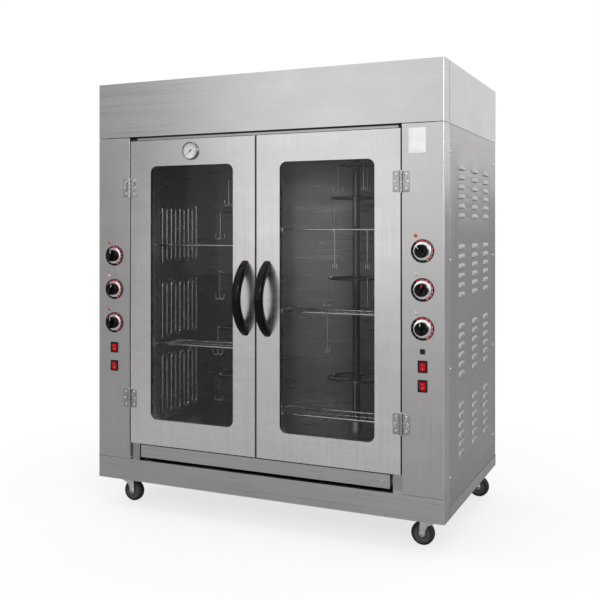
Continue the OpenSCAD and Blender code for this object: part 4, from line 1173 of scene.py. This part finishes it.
@dataclass
class Shell(Assembly):
    """The sheet-metal shell: hood, plinth, columns, side and rear panels, seams with painted shadow in the slot under
    the hood, the columns' folds with a painted highlight, and bare label plate.

    Attributes:
        wrap: How far the front sheets wrap onto the sides.
        skirt: Height of the plinth's side skirt.
        seam: Width of a seam's dark line.
        proud: How far a dark line stands out of its sheet.
        louvre_length: Length of a louvre.
        louvre_reach: How far it stands out.
        louvre_rise: Height of its hood.
        louvre_pitch: Spacing in a group.
        louvre_rows: Louvres above each other in a group.
    """

    wrap: float = 48
    skirt: float = 31.5
    seam: float = 1.6
    proud: float = 0.12
    louvre_length: float = 62
    louvre_reach: float = 6
    louvre_rise: float = 13
    louvre_pitch: float = 25.5
    louvre_rows: int = 6

    def build(self) -> None:
        """Builds and dresses the shell."""
        self.dress({
            "hood_steel": ["hood", "plinth", "drawer_front"], "column_steel": ["column_left", "column_right"],
            "panel_steel": ["rear_panel"], "frame_steel": ["inner_frame", "drawer_rails"],
            "liner_steel": ["drip_pan"],
        })
        self.make_seams()
        self.make_fold_highlights()
        at = (458, box("column_right")[0].y, 1047)
        label = self.plate("label_white", [round_box(45, 64, 1.5, 4)], 0.5, 0.15, at)
        self.hand_over(label, "bare_label_plate", "cabinet", "brushed")
        for side in Side:
            self.make_side_panel(side)

    def make_seams(self) -> None:
        """The dark lines where the front sheets end on the sides and over the plinth, and painted shadow strips in
        the slot under the hood, taller at the slot's two ends.
        """
        hood_low, hood_high = box("hood")
        low, high = box("plinth")
        column, proud, half = box("column_right")[0], self.proud, self.seam / 2
        jamb, step = column.x, low.z + self.skirt
        lines = []
        for (foot, edge), top in (((hood_low, hood_high), hood_high.z), ((low, high), step)):
            y = foot.y + self.wrap
            for x in (foot.x, edge.x):
                lines.append(((x - proud, y - half, foot.z + 1.5), (x + proud, y + half, top - 1.5)))
        # Painted shadow: dark strips on the rail in the slot under the hood, taller at the slot's two ends, stand for
        # its shade.
        shadow_rail_y = low.y + 11.8
        for left, right, shadow_drop in ((-jamb, jamb, 4), (-jamb, 20 - jamb, 11), (jamb - 14, jamb, 11)):
            lines.append(((left + 0.5, shadow_rail_y - 0.3, hood_low.z - shadow_drop), (right - 0.5, shadow_rail_y + 0.3, hood_low.z + 3)))
        for way in (-1, 1):
            inner, outer, side = way * (jamb + 1), way * (high.x - 1), way * high.x
            lines.append(((inner, low.y - proud, column.z - 0.5), (outer, low.y + proud, column.z + 0.4)))
            lines.append(((side - proud, low.y + self.wrap, step - 0.7), (side + proud, high.y - 1, step + 0.7)))
        parts = [self.block("seam_dark", *ends, 0.05, 1) for ends in lines]
        self.hand_over(parts, "wrap_seams", "cabinet", "frame_steel")

    def make_fold_highlights(self) -> None:
        """Round folds at the columns' inner edges, in the paler bright steel as a painted highlight."""
        low, high = box("column_right")
        edges = []
        for way in (-1, 1):
            at = (way * (low.x + 0.5), low.y + 0.5)
            path = [(*at, low.z + 0.5), (*at, (low.z + high.z) / 2), (*at, high.z - 0.5)]
            # Painted highlight: the folds take the paler bright steel, not the column's own.
            edges.append(self.tube("bright_steel", path, 0.75))
        self.hand_over(edges, "column_fold_edges", "cabinet", "brushed", angle=60)

    def make_side_panel(self, side: Side) -> None:
        """A side panel with its pressed louvres, each an arched hood open below."""
        node = f"side_panel_{side.value}"
        low, high = box(node)
        middle = (low + high) / 2
        face = high.x - self.louvre_reach if side is Side.RIGHT else low.x + self.louvre_reach
        thick = 1.5
        step = (high.z - low.z - 70 - 62 - 5 * self.louvre_pitch) / 3
        tops = [high.z - 70 - i * step for i in range(4)]
        depths = [low.y + 124, middle.y + 12, high.y - 112]
        places = [(y, top - i * self.louvre_pitch) for y in depths for top in tops for i in range(self.louvre_rows)]
        half = self.louvre_length / 2 - 3
        mouth = [(-half, 0.4), (half, 0.4), (half, 4.2), (-half, 4.2)]
        holes = [[(y - middle.y + py, z - middle.z + pz) for py, pz in mouth] for y, z in places]
        outline = round_box(high.y - low.y, high.z - low.z, 1.5, 3)
        at = (min(face, face - side.sign * thick), middle.y, middle.z)
        parts = [self.plate("panel_steel", [outline, *holes], thick, 0.3, at, Axis.X)]
        master = self.make_louvre(face, side.sign)
        parts += [Bench.copy(master, shift(0, y, z)) for y, z in places]
        bpy.data.objects.remove(master)
        self.hand_over(parts, f"louvred_panel_{side.value}", "cabinet", "brushed", [node], 40)

    def make_louvre(self, face: float, sign: int) -> Obj:
        """One louvre with its mouth at the origin's height: a pressed scoop, thick all over and open below."""
        half, reach, rise = self.louvre_length / 2, self.louvre_reach, self.louvre_rise
        columns, rows = 25, 8
        points, faces = [], []
        for j in range(rows):
            v = j / (rows - 1)
            for i in range(columns):
                u = -1 + 2 * i / (columns - 1)
                brow = (1 - u**6) ** 0.5
                inside = 0 < i < columns - 1 and j < rows - 1
                out = reach * brow * math.cos(v * math.pi / 2) ** 0.6 if inside else 0.0
                place = Vector((face + sign * (out - 0.15), u * half, rise * v * (0.55 + 0.45 * brow)))
                points.append(place * MM)
                if inside or (j < rows - 1 and i < columns - 1):
                    a = j * columns + i
                    faces.append((a, a + 1, a + columns + 1, a + columns))
        mesh = bpy.data.meshes.new("louvre")
        mesh.from_pydata(points, [], faces)
        obj = bpy.data.objects.new("louvre", mesh)
        bpy.context.scene.collection.objects.link(obj)
        if (mesh.polygons[columns * 3 + columns // 2].normal.x > 0) != (sign > 0):
            mesh.flip_normals()
        Bench.modify(obj, "SOLIDIFY", thickness=0.8 * MM, offset=-1)
        return self.paint(obj, "panel_steel")


@dataclass
class Gland(Assembly):
    """The cord gland at the rear: a flanged body, a ribbed nut and its rubber lip.

    Attributes:
        bore: Radius of its bore.
    """

    bore: float = 6

    def build(self) -> None:
        """Builds the gland round its open bore."""
        low, high = box("cable_gland")
        x, z = (low.x + high.x) / 2, (low.z + high.z) / 2
        rear, bore = box("rear_panel")[1].y, self.bore
        inside, outside = low.y - rear, high.y - rear
        profile = [(bore, inside), (9.6, inside), (10, inside + 0.5), (10, 0), (14, 0), (14, 3), (13.2, 4.2),
                   (12.6, 10.5), (11.4, 11.8), (9.6, 12), (9.2, 17.8), (8.0, outside), (bore, outside),
                   (bore, inside)]
        parts = [self.lathe("black_satin", profile, (x, rear, z))]
        for px, pz in ring(12.6, 12):
            path = [(x + px, rear + y, z + pz) for y in (3.4, 7, 10.6)]
            parts.append(self.tube("black_satin", path, 1.1, 8, radii=(0.7, 1.0, 0.7)))
        self.hand_over(parts, "cord_gland", "cabinet", "black_satin", ["cable_gland"], 40)


@dataclass
class Cavity(Assembly):
    """The roasting cavity: liner, heaters, posts, racks, rotors and hooks, and the drive above."""

    def build(self) -> None:
        """Dresses the cavity's solids."""
        self.dress({
            "liner_steel": ["oven_liner", "heater_mounts"], "heater_sheath": ["heaters"],
            "frame_steel": ["rack_posts"],
            "wire_chrome": ["wire_racks", "rack_hooks", "rotor_left_hooks", "rotor_right_hooks"],
            "zinc_plate": ["shaft_bearings"], "motor_paint": ["gearmotors"], "ceramic": ["thermostats"],
            "black_satin": ["door_catches"], "rotor_steel": ["rotor_left", "rotor_right"],
        })


# ---------------------------------------------------------------- casters


@dataclass
class Casters(Assembly):
    """The four swivel casters: plates with bolts, pressed forks, and wheels with rubber tyres.

    Attributes:
        radius: Radius of the tyre.
        width: Width of the wheel.
        hub_radius: Radius of the grey hub.
        hub_face: Radius of each ring of the hub's face and how deep it lies.
        cheek: Thickness of a fork's cheek.
        trail: How far the axle lies behind the swivel.
        top: Height of the fork's underside.
        seat: Height where the fork's raceway ends under its plate.
    """

    radius: float = 31
    width: float = 20
    hub_radius: float = 22
    hub_face: Sequence[Flat] = (
        (3.2, 0.0), (7.5, 0.0), (8.6, 0.6), (9.2, 2.6), (13.0, 3.2), (14.0, 2.2), (15.0, 2.2), (16.0, 3.2),
        (19.4, 2.6), (20.6, 1.0), (22.0, 0.9),
    )
    cheek: float = 2.5
    trail: float = 20
    top: float = 65
    seat: float = 79.7

    def build(self) -> None:
        """Builds the wheels, forks and plates."""
        plates = []
        wheel, fork = self.make_wheel(), self.make_fork()
        for name in [f"{end}_{side.value}" for end in ("front", "rear") for side in Side]:
            pivot, axle = self.pivot(f"{name}_fork_swivel"), self.pivot(f"{name}_wheel_spin")
            flip = Matrix.Identity(4) if axle.x > pivot.x else MIRROR
            turned = Bench.copy(wheel, shift(*axle))
            self.hand_over(turned, f"caster_wheel_{name}", f"{name}_wheel", "tyre", [f"wheel_{name}"], 40)
            bent = Bench.copy(fork, shift(pivot.x, pivot.y, 0) @ flip)
            self.hand_over(bent, f"caster_fork_{name}", f"{name}_fork", "zinc", [f"fork_{name}"])
            plates.append(self.make_plate(pivot))
        for master in (wheel, fork):
            bpy.data.objects.remove(master)
        self.hand_over(plates, "caster_top_plates", "cabinet", "zinc", ["caster_plates"])

    def make_wheel(self) -> Obj:
        """A wheel about the origin, its axle along Y: crowned tyre and ringed hub."""
        r, half, hub = self.radius, self.width / 2, self.hub_radius
        side = [(hub, 1.0), (hub + 1, 0.2), (r - 4, 0), (r - 1.6, 1.6), (r - 0.3, 4.4)]
        tyre = [(px, dz - half) for px, dz in side] + [(r, 0)] + [(px, half - dz) for px, dz in reversed(side)]
        middle = [(px, dz - half) for px, dz in self.hub_face]
        middle += [(px, half - dz) for px, dz in reversed(self.hub_face)]
        return Bench.join([
            self.lathe("tyre_rubber", [*tyre, tyre[0]], (0, 0, 0), steps=64),
            self.lathe("hub_grey", [*middle, middle[0]], (0, 0, 0), steps=64),
        ])

    def make_fork(self) -> Obj:
        """A fork about its swivel at the origin, trailing towards +X: bent plate, raceway and axle bolt."""
        trail, top, t = self.trail, self.top, self.cheek
        gap = self.width / 2 + 1.5
        reach = gap + t
        outline = [(-18, top + t), (24, top + t), (25, top - 4)]
        for a in [math.radians(30 - 210 * i / 8) for i in range(9)]:
            outline.append((trail + 8 * math.cos(a), self.radius + 8 * math.sin(a)))
        outline += [(trail - 10, self.radius + 12), (4, top - 12), (-15, top - 3)]
        cheeks = [self.plate("zinc_plate", [outline], t, 0.35, (0, y, 0)) for y in (-gap, reach)]
        bridge = self.block("zinc_plate", (-18, -reach, top), (24, reach, top + t), 0.6)
        rings = [(0, -0.2), (13, -0.2), (16.4, 1.0), (17, 3.2), (16.2, 5.4), (15.0, 6.0), (15.0, 6.8), (16.4, 7.6),
                 (16.8, 9.6)]
        race = [(r, top + t + h) for r, h in rings] + [(15.6, self.seat), (5.9, self.seat), (5.9, 82.4), (0, 82.4)]
        end = [(0, 3), (2.2, 2.8), (2.9, 1.5)]
        bolt = [(r, -reach - h) for r, h in end] + [(r, reach + h) for r, h in reversed(end)]
        parts = cheeks + [bridge, self.lathe("zinc_plate", race, (0, 0, 0), Axis.Z)]
        parts.append(self.lathe("bright_steel", bolt, (trail, 0, self.radius), steps=24))
        for y in (-reach + 0.1, reach + 2.4):
            parts.append(self.plate("bright_steel", [ring(5.2, 6, 15)], 2.5, 0.3, (trail, y, self.radius)))
        return Bench.join(parts)

    def make_plate(self, pivot: Vector) -> Obj:
        """A top plate with round corners and four bolt heads under it."""
        low, high = box("caster_plates")
        outlines = [round_box(58, 58, 5, 5), ring(6.2, 24)]
        parts = [self.plate("zinc_plate", outlines, high.z - low.z, 0.4, (pivot.x, pivot.y, low.z), Axis.Z)]
        head = [(0, 0.2), (4.6, 0.2), (4.6, -1.6), (3.6, -2.8), (0, -3.0)]
        for dx, dy in ((-22, -22), (-22, 22), (22, -22), (22, 22)):
            parts.append(self.lathe("zinc_plate", head, (pivot.x + dx, pivot.y + dy, low.z), Axis.Z, 6))
        return Bench.join(parts)


# ---------------------------------------------------------------- studio


@dataclass(frozen=True)
class Softbox:
    """A soft lamp, or a grey card out of the picture that the polished sheet mirrors.

    Attributes:
        name: Its name.
        place: Its middle.
        aim: The point that it faces.
        size: Width and height.
        glow: How bright its face is, where 1 is white.
    """

    name: str
    place: Point
    aim: Point
    size: Flat
    glow: float

    def face(self, obj: Obj) -> None:
        """Puts an object at its place, with -Z towards the aim."""
        obj.location = self.place
        obj.rotation_euler = (Vector(self.aim) - Vector(self.place)).to_track_quat("-Z", "Y").to_euler()


@dataclass
class Studio:
    """The floor, the white surroundings, the soft lamps and the camera.

    Attributes:
        eye: The camera's place.
        turn: Its turn about Z in degrees.
        lens: Its focal length on a 36 mm sensor.
        shift: Its upward shift.
        ambient: Brightness of the surroundings for what isn't shiny.
        floor_tone: The floor's tone for light that doesn't go to the camera, and for the camera.
        fade: Distances from the middle between which the floor fades into the surroundings.
        least_fade: The share of white at the middle.
        lamps: The soft lamps.
        cards: The grey cards.
    """

    eye: Point = (1.0908, -2.4057, 0.8205)
    turn: float = 24.34
    lens: float = 51.98
    shift: float = -0.117
    ambient: float = 0.92
    floor_tone: Flat = (0.4, 0.97)
    fade: Flat = (0.7, 1.6)
    least_fade: float = 0.72
    lamps: Sequence[Softbox] = (
        Softbox("front_softbox", (-1.15, -3.4, 1.5), (0.1, 0.0, 0.75), (1.4, 2.4), 0.32),
        Softbox("top_softbox", (0.0, -0.6, 3.6), (0.0, 0.0, 0.6), (2.6, 2.2), 0.5),
        Softbox("window_key", (2.1, -2.9, 1.9), (-0.3, 0.0, 0.55), (0.8, 0.8), 14.0),
    )
    cards: Sequence[Softbox] = (
        Softbox("left_card", (-3.3, -2.7, 1.2), (-0.4, 0.0, 0.8), (2.8, 3.0), 0.36),
        Softbox("rear_right_card", (1.9, 2.8, 0.45), (1.3, 0.0, 0.45), (4.4, 1.2), 0.36),
    )

    def build(self) -> None:
        """Builds the studio."""
        bpy.context.scene.view_settings.view_transform = "Standard"
        self.make_camera()
        self.make_surroundings()
        self.make_floor()
        for lamp in self.lamps:
            self.make_lamp(lamp)
        for card in self.cards:
            self.make_card(card)

    def make_camera(self) -> None:
        """The camera at the photograph's viewing angle."""
        data = bpy.data.cameras.new("photo_camera")
        data.lens = self.lens
        data.sensor_width = 36
        data.shift_y = self.shift
        camera = bpy.data.objects.new("photo_camera", data)
        camera.location = self.eye
        camera.rotation_euler = (math.radians(90), 0, math.radians(self.turn))
        bpy.context.scene.collection.objects.link(camera)
        bpy.context.scene.camera = camera

    def make_surroundings(self) -> None:
        """White where the camera and shiny things look, softer where matt things do."""
        world = bpy.data.worlds.new("studio_surroundings")
        bpy.context.scene.world = world
        sheet = NodeSheet(world)
        sheet.tree.nodes.clear()
        rays = sheet.node("LightPath").outputs
        seen = sheet.math("MAXIMUM", rays["Is Camera Ray"], rays["Is Glossy Ray"])
        seen = sheet.math("MAXIMUM", seen, rays["Is Transmission Ray"])
        soft, white = (
            sheet.node("Background", Color=(tone, tone, tone, 1.0)).outputs[0] for tone in (self.ambient, 1.0)
        )
        mixed = sheet.node("MixShader", _0=seen, _1=soft, _2=white).outputs[0]
        sheet.node("OutputWorld", Surface=mixed)

    def make_floor(self) -> None:
        """A pale floor that keeps the grill's shadow and fades into the white surroundings."""
        floor = self.make_plane("studio_floor", 24)
        sheet = NodeSheet(bpy.data.materials.new("studio_floor"))
        camera = sheet.node("LightPath").outputs["Is Camera Ray"]
        dark, pale = ((tone, tone, tone) for tone in self.floor_tone)
        sheet.feed(sheet.shader, Roughness=0.9, Specular_IOR_Level=0.1, Base_Color=sheet.mix(camera, dark, pale))
        place = sheet.node("TexCoord").outputs["Object"]
        away = sheet.node("VectorMath", operation="LENGTH", _0=place).outputs["Value"]
        start, end = self.fade
        fade = sheet.node(
            "MapRange", interpolation_type="SMOOTHSTEP", Value=away, From_Min=start, From_Max=end,
            To_Min=self.least_fade,
        ).outputs["Result"]
        self.finish(sheet, 1.0, sheet.math("MULTIPLY", fade, camera))
        floor.data.materials.append(sheet.owner)

    def make_plane(self, name: str, size: float) -> Obj:
        """A new square plane at the origin."""
        Bench.take()
        bpy.ops.mesh.primitive_plane_add(size=size, location=(0, 0, 0))
        made = bpy.context.active_object
        made.name = name
        return made

    def finish(self, sheet: NodeSheet, tone: float, share: Socket | None = None) -> None:
        """Lets a material glow in a grey tone, by a share or wholly."""
        surface = sheet.node("Emission", Color=(tone, tone, tone, 1.0)).outputs[0]
        if share:
            surface = sheet.node("MixShader", _0=share, _1=sheet.shader.outputs[0], _2=surface).outputs[0]
        sheet.feed(sheet.tree.nodes["Material Output"], Surface=surface)

    def make_lamp(self, lamp: Softbox) -> None:
        """Adds one soft lamp of the brightness asked for."""
        data = bpy.data.lights.new(lamp.name, "AREA")
        data.shape = "RECTANGLE"
        data.size, data.size_y = lamp.size
        data.energy = lamp.glow * math.pi * lamp.size[0] * lamp.size[1]
        obj = bpy.data.objects.new(lamp.name, data)
        bpy.context.scene.collection.objects.link(obj)
        lamp.face(obj)

    def make_card(self, card: Softbox) -> None:
        """Adds one grey card that only reflections show."""
        obj = self.make_plane(card.name, 1)
        obj.scale = (*card.size, 1)
        card.face(obj)
        sheet = NodeSheet(bpy.data.materials.new(card.name))
        self.finish(sheet, card.glow)
        obj.data.materials.append(sheet.owner)
        for kind in ("camera", "shadow", "diffuse", "transmission"):
            setattr(obj, f"visible_{kind}", False)


def main() -> None:
    """Builds every sub-assembly in order."""
    logging.basicConfig(level=logging.INFO, format="%(name)s: %(message)s")
    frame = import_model()
    Studio().build()
    palette = Palette()
    for side in Side:
        Door(frame, palette, side).build()
    for kind in (Shell, Screws, Hinges, Controls, Thermometer, Cavity, Casters, Gland):
        kind(frame, palette).build()
        LOG.info("%s finished", kind.__name__)


if __name__ == "__main__":
    main()
